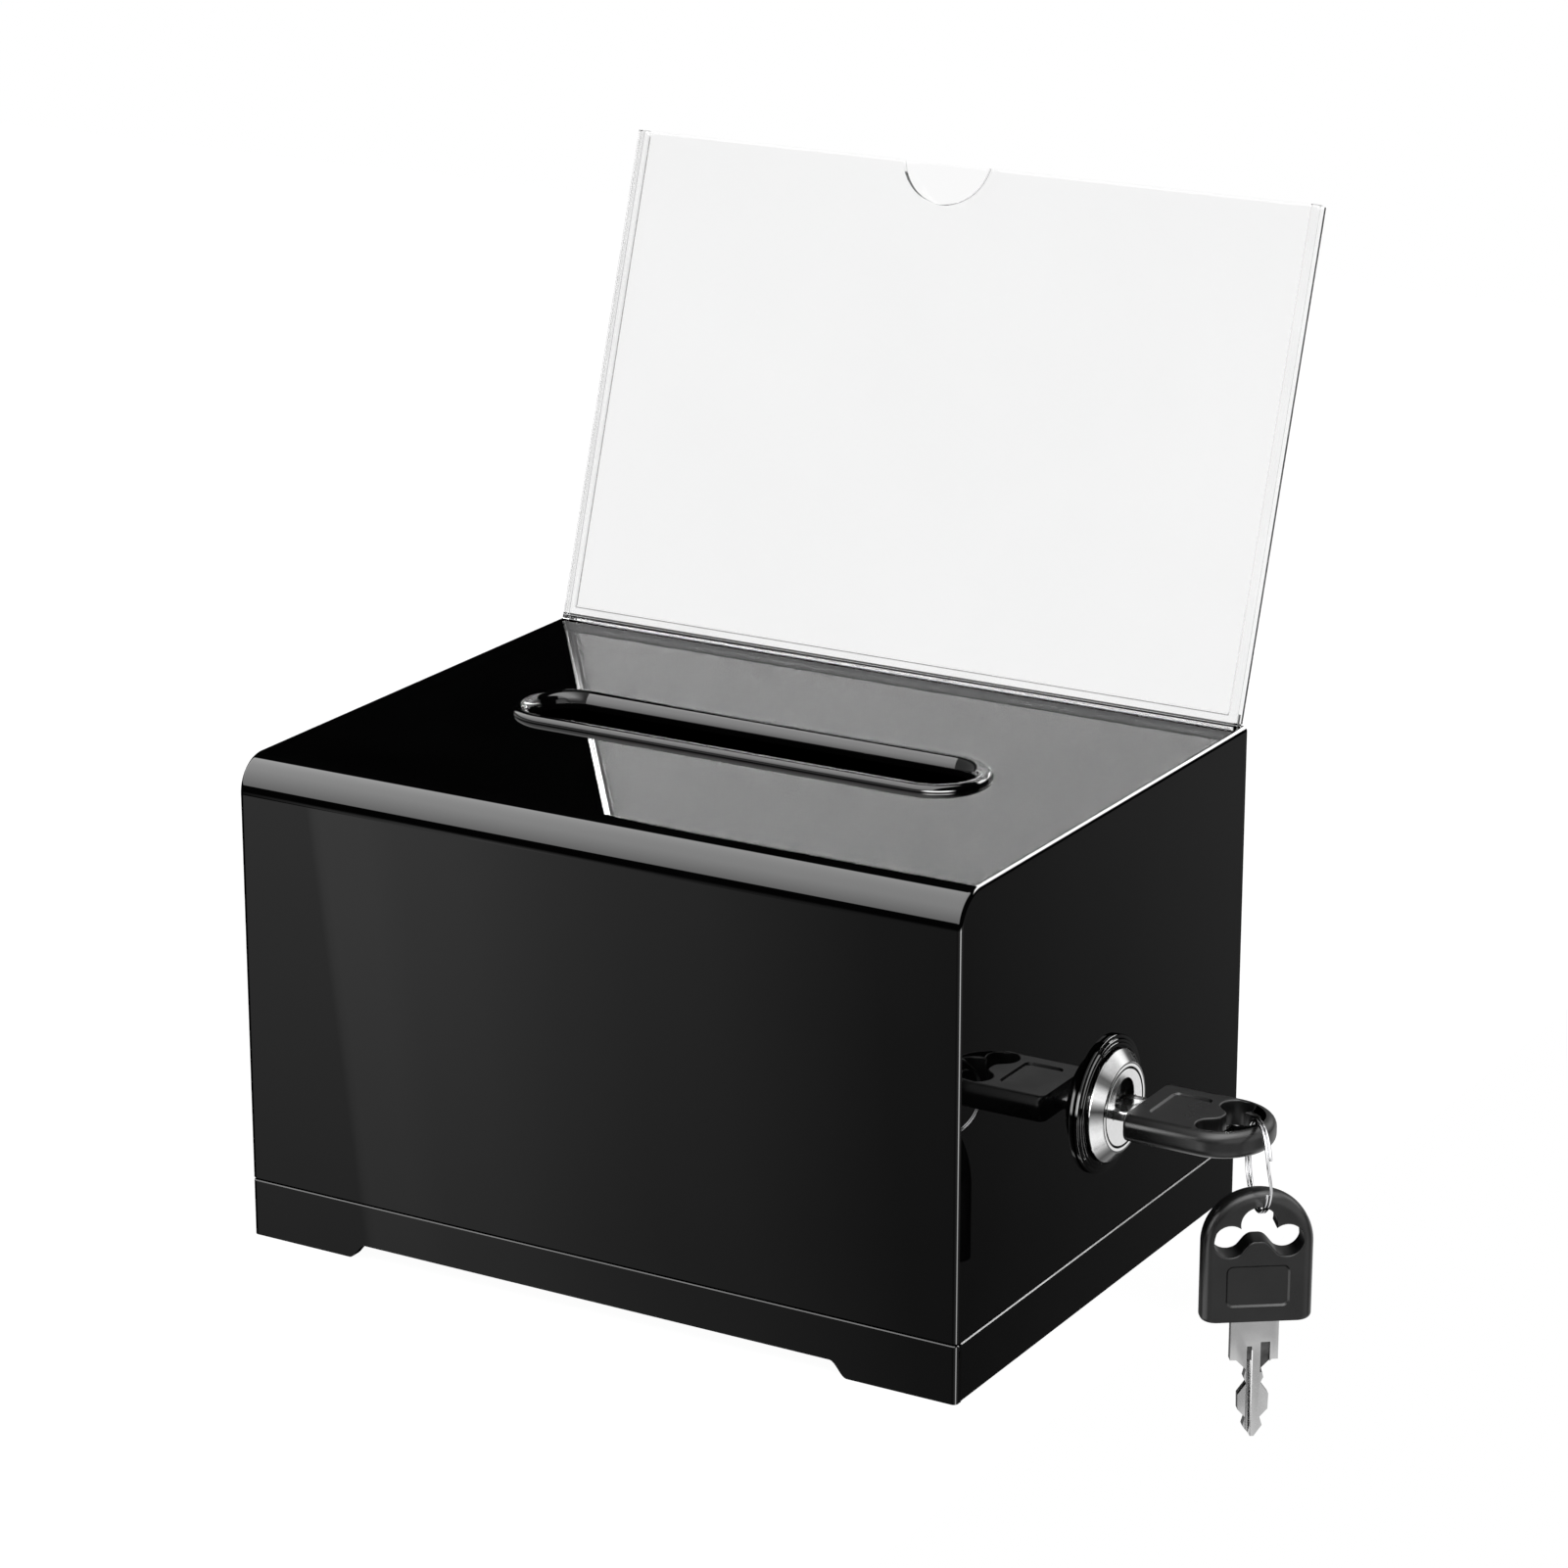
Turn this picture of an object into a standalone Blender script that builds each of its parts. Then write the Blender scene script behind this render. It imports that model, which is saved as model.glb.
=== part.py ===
"""Acrylic suggestion box with a cam lock, two keys on a ring and a clear sign holder.

Metres, +Z up, +Y to the back. The origin is the middle of the left plinth board's underside.
"""
from math import acos, atan2, cos, pi, radians, sin, sqrt

import bmesh
import bpy
from mathutils import Matrix, Vector

# Box body
box_width = 0.155
box_depth = 0.115
box_height = 0.0967
bend_radius = 0.007
front_sheet = 0.002
side_sheet = 0.002
back_sheet = 0.002
seat_gap = 0.0003
overrun = 0.001

# Base
seam_height = 0.0114
seam_gap = 0.0003
plinth_board = 0.002
foot_length = 0.0225
foot_ramp = 0.0037
notch_height = 0.003
base_sheet = 0.0025
locating_sheet = 0.0025
locating_play = 0.0004

# Posting slot and its raised rim
slot_length = 0.099
slot_width = 0.017
slot_offset_x = -0.0002
slot_from_front = 0.0577
rim_width = 0.0022
rim_height = 0.0012
rim_round = 0.0011
rim_flare = 0.003
rim_liner = 0.0006
rim_play = 0.0003

# Lock
lock_height = 0.0386
washer_radius = 0.0133
washer_thickness = 0.0014
washer_bevel = 0.0005
bezel_radius = 0.0108
bezel_face_radius = 0.00875
bezel_height = 0.0025
bezel_lip = 0.0003
barrel_radius = 0.0093
barrel_play = 0.0002
plug_face_radius = 0.0076
plug_face_depth = 0.0035
plug_radius = 0.0066
running_clearance = 0.00005
plug_recess_radius = 0.004
plug_recess_rise = 0.0018
plug_recess_depth = 0.0016
nut_across_flats = 0.023
nut_height = 0.0035
wafer_count = 4
wafer_thickness = 0.0008
wafer_pitch = 0.0026
wafer_first = 0.0062
wafer_height = 0.0092
wafer_width = 0.0078
wafer_play = 0.0001
spring_radius = 0.0006
spring_wire = 0.00022
spring_length = 0.0022
spring_turns = 4
spring_side_step = 0.0036
tail_width = 0.007
tail_play = 0.0001
plug_end_wall = 0.0051
screw_web = 0.001
cam_thickness = 0.002
cam_width = 0.012
cam_throw = 0.022
cam_gap = 0.0003
tail_washer_radius = 0.0052
tail_washer_thickness = 0.0008
cam_screw_head_radius = 0.0038
cam_screw_head_height = 0.0022
cam_screw_radius = 0.0019
screw_play = 0.0001
screw_slot_width = 0.0008
screw_slot_depth = 0.001

# Catch for the cam
catch_reach = 0.016
catch_sheet = 0.0024
catch_width = 0.016
catch_top_bar = 0.004
catch_play = 0.0006
catch_flange = 0.014
flange_screw_spread = 0.009
flange_screw_radius = 0.0015
flange_screw_head_radius = 0.0029
flange_screw_head_height = 0.0016

# Keys
head_width = 0.0208
head_length = 0.0255
head_thickness = 0.0052
head_rounding = 0.002
head_corner = 0.0009
lobe_radius = 0.0031
lobe_side = 0.0053
lobe_drop = 0.0032
bow_lobe_radius = 0.0034
bow_rim = 0.0029
label_width = 0.0118
label_length = 0.0081
label_from_end = 0.003
label_depth = 0.0003
label_corner = 0.0012
blade_thickness = 0.0018
shoulder_width = 0.009
shoulder_length = 0.0084
blade_length = 0.0239
blade_width = 0.0058
tang_length = 0.0062
tang_width = 0.0076
tang_play = 0.0001
groove_width = 0.0007
groove_depth = 0.00035
groove_start = 0.0065
pocket_width = 0.0019
pocket_length = 0.0042
pocket_offset = 0.0025
pocket_depth = 0.0006
shoulder_shown = 0.0046
keyway_play = 0.0002

# Ring, a double turn of wire
ring_radius = 0.0084
ring_wire = 0.0007
ring_turn_gap = 0.00015
ring_end_gap = 0.0004
ring_rest_gap = 0.00012
ring_hole_gap = 0.00012
ring_bearing_deg = 43.0
ring_chord_share = 0.5
ring_jog_deg = 40.0
ring_jog_at_deg = 5.0
spare_bearing_deg = 36.0
spare_rest_gap = 0.0004

# Sign holder
sign_width = 0.1528
sign_height = 0.1016
sign_lean_deg = 18.0
sign_sheet = 0.0014
sign_pocket = 0.0012
sign_side_strip = 0.0019
sign_bottom_strip = 0.0031
sign_seat_gap = 0.0001
sign_rest_gap = 0.0002
sign_tab_width = 0.0912
sign_tab_depth = 0.006
sign_tab_play = 0.0003
thumb_radius = 0.0099
thumb_offset_x = -0.0045
thumb_depth = 0.0082

# Facets of round things
round_facets = 64
small_facets = 32
bend_facets = 12
wire_facets = 8
lobe_facets = 12
ring_steps = 40
rim_facets = 5

# Outline of the key's blade, from the shoulder to the tip: distance along it as shares of its
# length past the shoulder, and half width as shares of the blade's half width
blade_shares = (
    (0.000, 1.155),
    (0.122, 0.510),
    (0.232, 0.645),
    (0.308, 0.450),
    (0.450, 1.000),
    (0.645, 0.975),
    (0.750, 0.470),
    (0.860, 0.640),
    (0.965, 0.245),
    (1.000, 0.130),
)

half_width = box_width / 2
key_standoff = washer_thickness + bezel_height + shoulder_shown
barrel_length = blade_length - key_standoff + plug_end_wall
bow_lobe_height = head_length - bow_rim - bow_lobe_radius
origin_x = half_width - plinth_board / 2
origin_y = box_depth / 2
lock_y = box_depth / 2
lock_face_x = half_width + washer_thickness + bezel_height
right = Vector((1, 0, 0))
up = Vector((0, 0, 1))


def place(x, y, z):
    """A point given from the middle of the box's front bottom edge, in the part's frame."""
    return Vector((x + origin_x, y - origin_y, z))


def material(name, colour, metallic, roughness, alpha=1.0):
    found = bpy.data.materials.new(name)
    found.use_nodes = True
    shader = found.node_tree.nodes["Principled BSDF"]
    shader.inputs["Base Color"].default_value = (*colour, 1.0)
    shader.inputs["Metallic"].default_value = metallic
    shader.inputs["Roughness"].default_value = roughness
    shader.inputs["Alpha"].default_value = alpha
    found.diffuse_color = (*colour, alpha)
    return found


def new_object(name, vertices, faces, look=None, smooth=False):
    mesh = bpy.data.meshes.new(name)
    mesh.from_pydata([tuple(v) for v in vertices], [], faces)
    mesh.validate()
    made = bpy.data.objects.new(name, mesh)
    bpy.context.scene.collection.objects.link(made)
    tidy_normals(made)
    if look is not None:
        mesh.materials.append(look)
    if smooth:
        shade(made)
    return made


def tidy_normals(made):
    shell = bmesh.new()
    shell.from_mesh(made.data)
    bmesh.ops.recalc_face_normals(shell, faces=shell.faces)
    shell.to_mesh(made.data)
    shell.free()


def shade(made, limit_deg=32.0):
    made.data.shade_smooth()
    made.data.set_sharp_from_angle(angle=radians(limit_deg))


def loft(name, loops, look=None, smooth=False, closed_path=False):
    """Skin between loops of equally many points, with a flat face at each end."""
    count = len(loops[0])
    vertices = [point for loop in loops for point in loop]
    faces = []
    steps = len(loops) if closed_path else len(loops) - 1
    for step in range(steps):
        here = step * count
        there = ((step + 1) % len(loops)) * count
        for side in range(count):
            after = (side + 1) % count
            faces.append((here + side, here + after, there + after, there + side))
    if not closed_path:
        faces.append(tuple(range(count)))
        last = (len(loops) - 1) * count
        faces.append(tuple(last + side for side in range(count)))
    return new_object(name, vertices, faces, look, smooth)


def prism(name, outline, base, along, across, depth_dir, depth, look=None, smooth=False):
    """An outline in the plane of along and across, pushed along depth_dir by depth."""
    lower = [base + along * a + across * b for a, b in outline]
    upper = [point + depth_dir * depth for point in lower]
    return loft(name, [lower, upper], look, smooth)


def block(name, low, high, look=None):
    """An upright block between two corners given from the box's front bottom edge."""
    a = place(*low)
    b = place(*high)
    outline = ((0, 0), (b.x - a.x, 0), (b.x - a.x, b.y - a.y), (0, b.y - a.y))
    return prism(name, outline, a, right, Vector((0, 1, 0)), up, b.z - a.z, look)


def circle(radius, facets=round_facets, centre=(0, 0)):
    return [
        (
            centre[0] + radius * cos(2 * pi * step / facets),
            centre[1] + radius * sin(2 * pi * step / facets),
        )
        for step in range(facets)
    ]


def turned(name, profile, centre, look=None, facets=round_facets):
    """A body of revolution about the lock's axis, from (distance along X, radius) pairs."""
    loops = []
    for along, radius in profile:
        loops.append(
            [
                centre + Vector((along, radius * cos(a), radius * sin(a)))
                for a in (2 * pi * step / facets for step in range(facets))
            ]
        )
    return loft(name, loops, look, smooth=True)


def stadium(length, width, facets=small_facets):
    """A slot's outline, with round ends, about its own centre."""
    radius = width / 2
    reach = length / 2 - radius
    half = facets // 2
    points = []
    for step in range(half + 1):
        a = -pi / 2 + pi * step / half
        points.append((reach + radius * cos(a), radius * sin(a)))
    for step in range(half + 1):
        a = pi / 2 + pi * step / half
        points.append((-reach + radius * cos(a), radius * sin(a)))
    return points


def rounded_rectangle(width, length, radius, centre=(0, 0), facets=6):
    points = []
    for turn, (side, end) in enumerate(((1, 1), (-1, 1), (-1, -1), (1, -1))):
        for step in range(facets + 1):
            a = pi / 2 * (turn + step / facets)
            points.append(
                (
                    centre[0] + side * (width / 2 - radius) + radius * cos(a),
                    centre[1] + end * (length / 2 - radius) + radius * sin(a),
                )
            )
    return points


def cut(body, *cutters, join=False):
    """Take the cutters away from the body, or join them to it, and drop the cutters."""
    smooth = any(face.use_smooth for face in body.data.polygons)
    for cutter in cutters:
        step = body.modifiers.new(cutter.name, "BOOLEAN")
        step.operation = "UNION" if join else "DIFFERENCE"
        step.solver = "EXACT"
        step.object = cutter
    bpy.context.view_layer.update()
    graph = bpy.context.evaluated_depsgraph_get()
    result = bpy.data.meshes.new_from_object(body.evaluated_get(graph))
    old = body.data
    body.modifiers.clear()
    body.data = result
    result.name = body.name
    bpy.data.meshes.remove(old)
    for cutter in cutters:
        spare = cutter.data
        bpy.data.objects.remove(cutter, do_unlink=True)
        bpy.data.meshes.remove(spare)
    while len(body.data.materials) > 1:
        body.data.materials.pop()
    if smooth:
        shade(body)
    return body


def set_origin(made, point):
    """Move the object's own origin to a point, and leave its mesh where it is."""
    made.data.transform(Matrix.Translation(-point))
    made.location = point


def clear_scene():
    for made in list(bpy.data.objects):
        bpy.data.objects.remove(made, do_unlink=True)
    for mesh in list(bpy.data.meshes):
        bpy.data.meshes.remove(mesh)


def make_looks():
    black = (0.006, 0.006, 0.007)
    return {
        "acrylic": ("black acrylic", black, 0.0, 0.05),
        "rim": ("black acrylic rim", black, 0.0, 0.08),
        "clear": ("clear acrylic", (0.95, 0.96, 0.96), 0.0, 0.02, 0.25),
        "plastic": ("black plastic", (0.012, 0.012, 0.013), 0.0, 0.35),
        "chrome": ("bright plated zinc", (0.72, 0.72, 0.73), 1.0, 0.15),
        "steel": ("nickel silver", (0.50, 0.50, 0.51), 1.0, 0.3),
        "zinc": ("zinc plated steel", (0.55, 0.56, 0.58), 1.0, 0.35),
        "brass": ("brass", (0.62, 0.47, 0.22), 1.0, 0.3),
    }


looks = {}


def look_for(kind, node):
    """A material of its own for each piece, of the named kind."""
    name, colour, metallic, roughness, *alpha = looks[kind]
    return material(node + " " + name, colour, metallic, roughness, *alpha)


def top_sheet_profile(radius, inner):
    """The front and top sheet from the side, as (back, up) pairs, at one of its faces."""
    points = [(inner, seam_height + seam_gap)]
    for step in range(bend_facets + 1):
        a = pi - pi / 2 * step / bend_facets
        points.append(
            (bend_radius + radius * cos(a), box_height - bend_radius + radius * sin(a))
        )
    points.append((box_depth, box_height - inner))
    return points


def make_base(parts):
    plinth_top = seam_height
    inner_x = half_width - plinth_board - seat_gap
    for side, word in ((-1, "left"), (1, "right")):
        name = "plinth_" + word
        low = min(side * half_width, side * (half_width - plinth_board))
        tuck = plinth_board + seat_gap
        parts[name] = block(
            name,
            (low, tuck, 0),
            (low + plinth_board, box_depth - tuck, plinth_top),
            look_for("acrylic", name),
        )
    for word, near in (("front", 0), ("back", box_depth - plinth_board)):
        name = "plinth_" + word
        foot = half_width - foot_length
        ramp_end = foot - foot_ramp
        outline = [(-half_width, 0), (-foot, 0)]
        for step in range(bend_facets + 1):
            share = step / bend_facets
            rise = notch_height * (1 - cos(pi * share)) / 2
            outline.append((-foot + (foot - ramp_end) * share, rise))
        for step in range(bend_facets + 1):
            share = 1 - step / bend_facets
            rise = notch_height * (1 - cos(pi * share)) / 2
            outline.append((foot - (foot - ramp_end) * share, rise))
        outline += [(half_width, 0), (half_width, plinth_top), (-half_width, plinth_top)]
        outline = [point for at, point in enumerate(outline) if point != outline[at - 1]]
        parts[name] = prism(
            name,
            outline,
            place(0, near, 0),
            right,
            up,
            Vector((0, 1, 0)),
            plinth_board,
            look_for("acrylic", name),
        )
    inner_y = plinth_board + seat_gap
    parts["base_plate"] = block(
        "base_plate",
        (-inner_x, inner_y, plinth_top - base_sheet),
        (inner_x, box_depth - inner_y, plinth_top),
        look_for("acrylic", "base_plate"),
    )
    wall_x = half_width - side_sheet - locating_play
    parts["locating_plate"] = block(
        "locating_plate",
        (-wall_x, front_sheet + locating_play, plinth_top + seat_gap),
        (
            wall_x,
            box_depth - back_sheet - locating_play,
            plinth_top + seat_gap + locating_sheet,
        ),
        look_for("acrylic", "locating_plate"),
    )
    make_catch(parts)


def cam_face_x():
    """Inner face of the cam, which sits behind the barrel."""
    return half_width - barrel_length - cam_gap - cam_thickness


def make_catch(parts):
    floor_z = seam_height + seat_gap + locating_sheet + seat_gap
    cam_middle = cam_face_x() + cam_thickness / 2
    slot_top = lock_height + cam_width / 2 + catch_play
    swing = sqrt(cam_throw**2 + (cam_width / 2) ** 2)
    slot_low = lock_height - sqrt(swing**2 - (catch_reach - catch_sheet / 2) ** 2) - catch_play
    plate_back = lock_y - catch_reach + catch_sheet / 2
    plate_front = plate_back - catch_sheet
    flange_front = plate_back - catch_flange
    outline = (
        (flange_front, floor_z),
        (plate_back, floor_z),
        (plate_back, slot_top + catch_top_bar),
        (plate_front, slot_top + catch_top_bar),
        (plate_front, floor_z + catch_sheet),
        (flange_front, floor_z + catch_sheet),
    )
    name = "catch_bracket"
    body = prism(
        name,
        outline,
        place(cam_middle - catch_width / 2, 0, 0),
        Vector((0, 1, 0)),
        up,
        right,
        catch_width,
        look_for("zinc", name),
    )
    slot_half = cam_thickness / 2 + catch_play
    window = block(
        "window",
        (cam_middle - slot_half, plate_front - overrun, slot_low),
        (cam_middle + slot_half, plate_back + overrun, slot_top),
    )
    cutters = [window]
    screw_y = (flange_front + plate_front) / 2
    sheets = ["locating_plate", "base_plate"]
    holes = {sheet: [] for sheet in sheets}
    deep = floor_z - seam_height + base_sheet
    bore = circle(flange_screw_radius + screw_play, small_facets)
    for sign, word in ((-1, "left"), (1, "right")):
        screw_x = cam_middle + sign * flange_screw_spread / 2
        axis = place(screw_x, screw_y, floor_z - deep - overrun)
        reach = deep + catch_sheet + 2 * overrun
        for target in ("bracket", *sheets):
            bit = prism(
                "bore_" + target + word,
                bore,
                axis,
                right,
                Vector((0, 1, 0)),
                up,
                reach,
            )
            if target == "bracket":
                cutters.append(bit)
            else:
                holes[target].append(bit)
        make_screw(
            parts,
            "catch_screw_" + word,
            place(screw_x, screw_y, floor_z + catch_sheet + seat_gap),
            up,
            Vector((0, 1, 0)),
            (flange_screw_head_radius, flange_screw_head_height),
            (flange_screw_radius, catch_sheet + deep),
            "zinc",
        )
    parts[name] = cut(body, *cutters)
    for sheet in sheets:
        cut(parts[sheet], *holes[sheet])


def make_screw(parts, name, seat, out, across, head, shank, kind):
    """A pan head screw with a straight slot: its head's seat, and the way that it looks."""
    head_radius, head_height = head
    shank_radius, shank_length = shank
    other = out.cross(across)
    profile = (
        (-shank_length, shank_radius - shank_radius / 4),
        (-shank_length + shank_radius / 2, shank_radius),
        (0, shank_radius),
        (0, head_radius),
        (head_height / 2, head_radius),
        (head_height * 4 / 5, head_radius * 9 / 10),
        (head_height, head_radius * 2 / 3),
    )
    loops = [
        [
            seat + out * along + (across * cos(a) + other * sin(a)) * radius
            for a in (2 * pi * step / small_facets for step in range(small_facets))
        ]
        for along, radius in profile
    ]
    body = loft(name, loops, look_for(kind, name), smooth=True)
    half = screw_slot_width / 2
    reach = head_radius + overrun
    slot = prism(
        "slot",
        ((-half, -reach), (half, -reach), (half, reach), (-half, reach)),
        seat + out * (head_height - screw_slot_depth),
        across,
        other,
        out,
        screw_slot_depth + overrun,
    )
    parts[name] = cut(body, slot)


def sign_axes():
    lean = radians(sign_lean_deg)
    rise = Vector((0, sin(lean), cos(lean)))
    back = Vector((0, cos(lean), -sin(lean)))
    return rise, back


def sign_foot():
    """Front bottom edge of the sign holder; its back bottom edge is flush with the box."""
    lean = radians(sign_lean_deg)
    depth = (2 * sign_sheet + sign_pocket) / cos(lean)
    return box_depth - depth, box_height + sign_rest_gap


def make_casing(parts):
    inner = front_sheet
    outer_side = top_sheet_profile(bend_radius, 0)
    inner_side = top_sheet_profile(bend_radius - front_sheet, inner)
    outline = outer_side + inner_side[::-1]
    inner_x = half_width - side_sheet - seat_gap
    name = "front_top_panel"
    body = prism(
        name,
        outline,
        place(-half_width, 0, 0),
        Vector((0, 1, 0)),
        up,
        right,
        2 * half_width,
        look_for("acrylic", name),
    )
    slot = prism(
        "posting",
        stadium(
            slot_length + 2 * rim_liner + 2 * rim_play,
            slot_width + 2 * rim_liner + 2 * rim_play,
        ),
        place(slot_offset_x, slot_from_front, box_height - front_sheet - overrun),
        right,
        Vector((0, 1, 0)),
        up,
        front_sheet + 2 * overrun,
    )
    rise, back = sign_axes()
    foot_y, foot_z = sign_foot()
    tab_front = sign_sheet + sign_seat_gap - sign_tab_play
    tab_depth = sign_pocket - 2 * sign_seat_gap + 2 * sign_tab_play
    tab_half = sign_tab_width / 2 + sign_tab_play
    reach = sign_tab_depth + overrun
    tab_slot = prism(
        "tab_slot",
        ((-tab_half, -reach), (tab_half, -reach), (tab_half, reach), (-tab_half, reach)),
        place(0, foot_y, foot_z) + back * tab_front,
        right,
        rise,
        back,
        tab_depth,
    )
    back_notch = tab_slot.copy()
    back_notch.data = tab_slot.data.copy()
    bpy.context.scene.collection.objects.link(back_notch)
    parts[name] = cut(body, slot, tab_slot)
    shade(parts[name], 12.0)

    tuck = front_sheet + seat_gap
    side_outline = [(tuck, seam_height + seam_gap)]
    for step in range(bend_facets + 1):
        a = pi - pi / 2 * step / bend_facets
        side_outline.append(
            (
                bend_radius + (bend_radius - tuck) * cos(a),
                box_height - bend_radius + (bend_radius - tuck) * sin(a),
            )
        )
    side_outline += [(box_depth, box_height - tuck), (box_depth, seam_height + seam_gap)]
    for side, word in ((-1, "left"), (1, "right")):
        name = "side_panel_" + word
        low = min(side * half_width, side * (half_width - side_sheet))
        body = prism(
            name,
            side_outline,
            place(low, 0, 0),
            Vector((0, 1, 0)),
            up,
            right,
            side_sheet,
            look_for("acrylic", name),
        )
        if side > 0:
            hole = prism(
                "lock_hole",
                circle(barrel_radius + barrel_play),
                place(half_width - side_sheet - overrun, lock_y, lock_height),
                Vector((0, 1, 0)),
                up,
                right,
                side_sheet + 2 * overrun,
            )
            body = cut(body, hole)
        shade(body, 12.0)
        parts[name] = body

    panel = block(
        "back_panel",
        (-inner_x, box_depth - back_sheet, seam_height + seam_gap),
        (inner_x, box_depth, box_height - front_sheet - seat_gap),
        look_for("acrylic", "back_panel"),
    )
    parts["back_panel"] = cut(panel, back_notch)
    make_rim(parts)


def make_rim(parts):
    """A raised collar round the posting slot, rounded outside and flared inside.

    Its spigot lines the opening of the top panel.
    """
    name = "slot_rim"
    flat = box_height + seat_gap / 2
    crest = flat + rim_height
    below = box_height - front_sheet
    profile = [(rim_liner, below), (rim_liner, flat), (rim_width, flat)]
    for step in range(rim_facets + 1):
        a = pi / 2 * step / rim_facets
        profile.append(
            (rim_width - rim_round + rim_round * cos(a), crest - rim_round + rim_round * sin(a))
        )
    for step in range(rim_facets + 1):
        a = pi / 2 * step / rim_facets
        profile.append((-rim_flare * sin(a), crest - rim_flare + rim_flare * cos(a)))
    profile.append((-rim_flare, below))
    centre = place(slot_offset_x, slot_from_front, 0)
    loops = []
    for out, height in profile:
        loops.append(
            [
                centre + Vector((x, y, height))
                for x, y in stadium(slot_length + 2 * out, slot_width + 2 * out)
            ]
        )
    parts[name] = loft(name, loops, look_for("rim", name), smooth=True, closed_path=True)


def make_lock(parts):
    centre = place(half_width, lock_y, lock_height)
    hole_radius = barrel_radius + barrel_play
    name = "lock_washer"
    washer = turned(
        name,
        (
            (seat_gap, washer_radius),
            (washer_thickness - washer_bevel, washer_radius),
            (washer_thickness, washer_radius - washer_bevel),
        ),
        centre,
        look_for("plastic", name),
    )
    bore = turned(
        "bore",
        ((-overrun, hole_radius), (washer_thickness + overrun, hole_radius)),
        centre,
    )
    parts[name] = cut(washer, bore)

    name = "lock_barrel"
    seat = washer_thickness + seat_gap
    face = washer_thickness + bezel_height
    barrel = turned(
        name,
        (
            (-barrel_length, barrel_radius),
            (seat, barrel_radius),
            (seat, bezel_radius - bezel_lip),
            (seat + bezel_lip, bezel_radius),
            (face, bezel_face_radius),
        ),
        centre,
        look_for("chrome", name),
    )
    face_bore = turned(
        "face_bore",
        (
            (face - plug_face_depth - running_clearance, plug_face_radius + running_clearance),
            (face + overrun, plug_face_radius + running_clearance),
        ),
        centre,
    )
    bore = turned(
        "long_bore",
        (
            (-barrel_length - overrun, plug_radius + running_clearance),
            (face, plug_radius + running_clearance),
        ),
        centre,
    )
    parts[name] = cut(barrel, face_bore, bore)

    name = "lock_nut"
    nut_face = -side_sheet - seat_gap
    corner = nut_across_flats / 2 / cos(pi / 6)
    hexagon = [(corner * cos(pi / 3 * k), corner * sin(pi / 3 * k)) for k in range(6)]
    nut = prism(
        name,
        hexagon,
        centre + right * (nut_face - nut_height),
        Vector((0, 1, 0)),
        up,
        right,
        nut_height,
        look_for("zinc", name),
    )
    bore = turned(
        "nut_bore",
        (
            (nut_face - nut_height - overrun, hole_radius),
            (nut_face + overrun, hole_radius),
        ),
        centre,
    )
    parts[name] = cut(nut, bore)
    shade(parts[name])
    make_plug(parts, centre)


def key_slot_cutters(centre):
    """Keyway: a wide mouth for the key's shoulder, then a narrow way for its blade."""
    face = washer_thickness + bezel_height
    flat = blade_thickness / 2 + keyway_play
    shoulder = shoulder_width / 2 + keyway_play
    widest = max(wide for _, wide in blade_shares)
    blade = blade_width / 2 * widest + keyway_play
    tip = key_standoff - blade_length
    mouth_end = key_standoff - shoulder_length - keyway_play
    mouth = prism(
        "mouth",
        ((-shoulder, -flat), (shoulder, -flat), (shoulder, flat), (-shoulder, flat)),
        centre + right * mouth_end,
        Vector((0, 1, 0)),
        up,
        right,
        face - mouth_end + overrun,
    )
    way = prism(
        "way",
        ((-blade, -flat), (blade, -flat), (blade, flat), (-blade, flat)),
        centre + right * (tip - keyway_play),
        Vector((0, 1, 0)),
        up,
        right,
        face - tip + keyway_play,
    )
    return [mouth, way]


def make_plug(parts, centre):
    name = "lock_plug"
    face = washer_thickness + bezel_height
    step_x = face - plug_face_depth
    end = -barrel_length
    tail_end = end - cam_gap - cam_thickness - tail_play
    plug = turned(
        name,
        (
            (end, plug_radius),
            (step_x, plug_radius),
            (step_x, plug_face_radius),
            (face - running_clearance * 6, plug_face_radius),
            (face, plug_face_radius - running_clearance * 6),
        ),
        centre,
        look_for("chrome", name),
    )
    half = tail_width / 2
    tail = prism(
        "tail",
        ((-half, -half), (half, -half), (half, half), (-half, half)),
        centre + right * tail_end,
        Vector((0, 1, 0)),
        up,
        right,
        end - tail_end + overrun,
    )
    plug = cut(plug, tail, join=True)
    recess = turned(
        "recess",
        ((face - plug_recess_depth, plug_recess_radius), (face + overrun, plug_recess_radius)),
        centre + up * plug_recess_rise,
        facets=small_facets,
    )
    cutters = key_slot_cutters(centre) + [recess]
    screw_bore = turned(
        "screw_bore",
        (
            (tail_end - overrun, cam_screw_radius + screw_play),
            (end + plug_end_wall - screw_web, cam_screw_radius + screw_play),
        ),
        centre,
        facets=small_facets,
    )
    cutters.append(screw_bore)
    half_y = wafer_width / 2 + wafer_play
    half_z = wafer_height / 2 + wafer_play
    thick = wafer_thickness + 2 * wafer_play
    for number in range(wafer_count):
        near = face - wafer_first - number * wafer_pitch - wafer_thickness - wafer_play
        open_z = plug_radius + overrun
        cutters.append(
            prism(
                "wafer_way_" + str(number),
                ((-half_y, -half_z), (half_y, -half_z), (half_y, open_z), (-half_y, open_z)),
                centre + right * near,
                Vector((0, 1, 0)),
                up,
                right,
                thick,
            )
        )
        make_wafer(parts, centre, number, face)
    parts[name] = cut(plug, *cutters)
    make_cam(parts, centre, end, tail_end)


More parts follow.
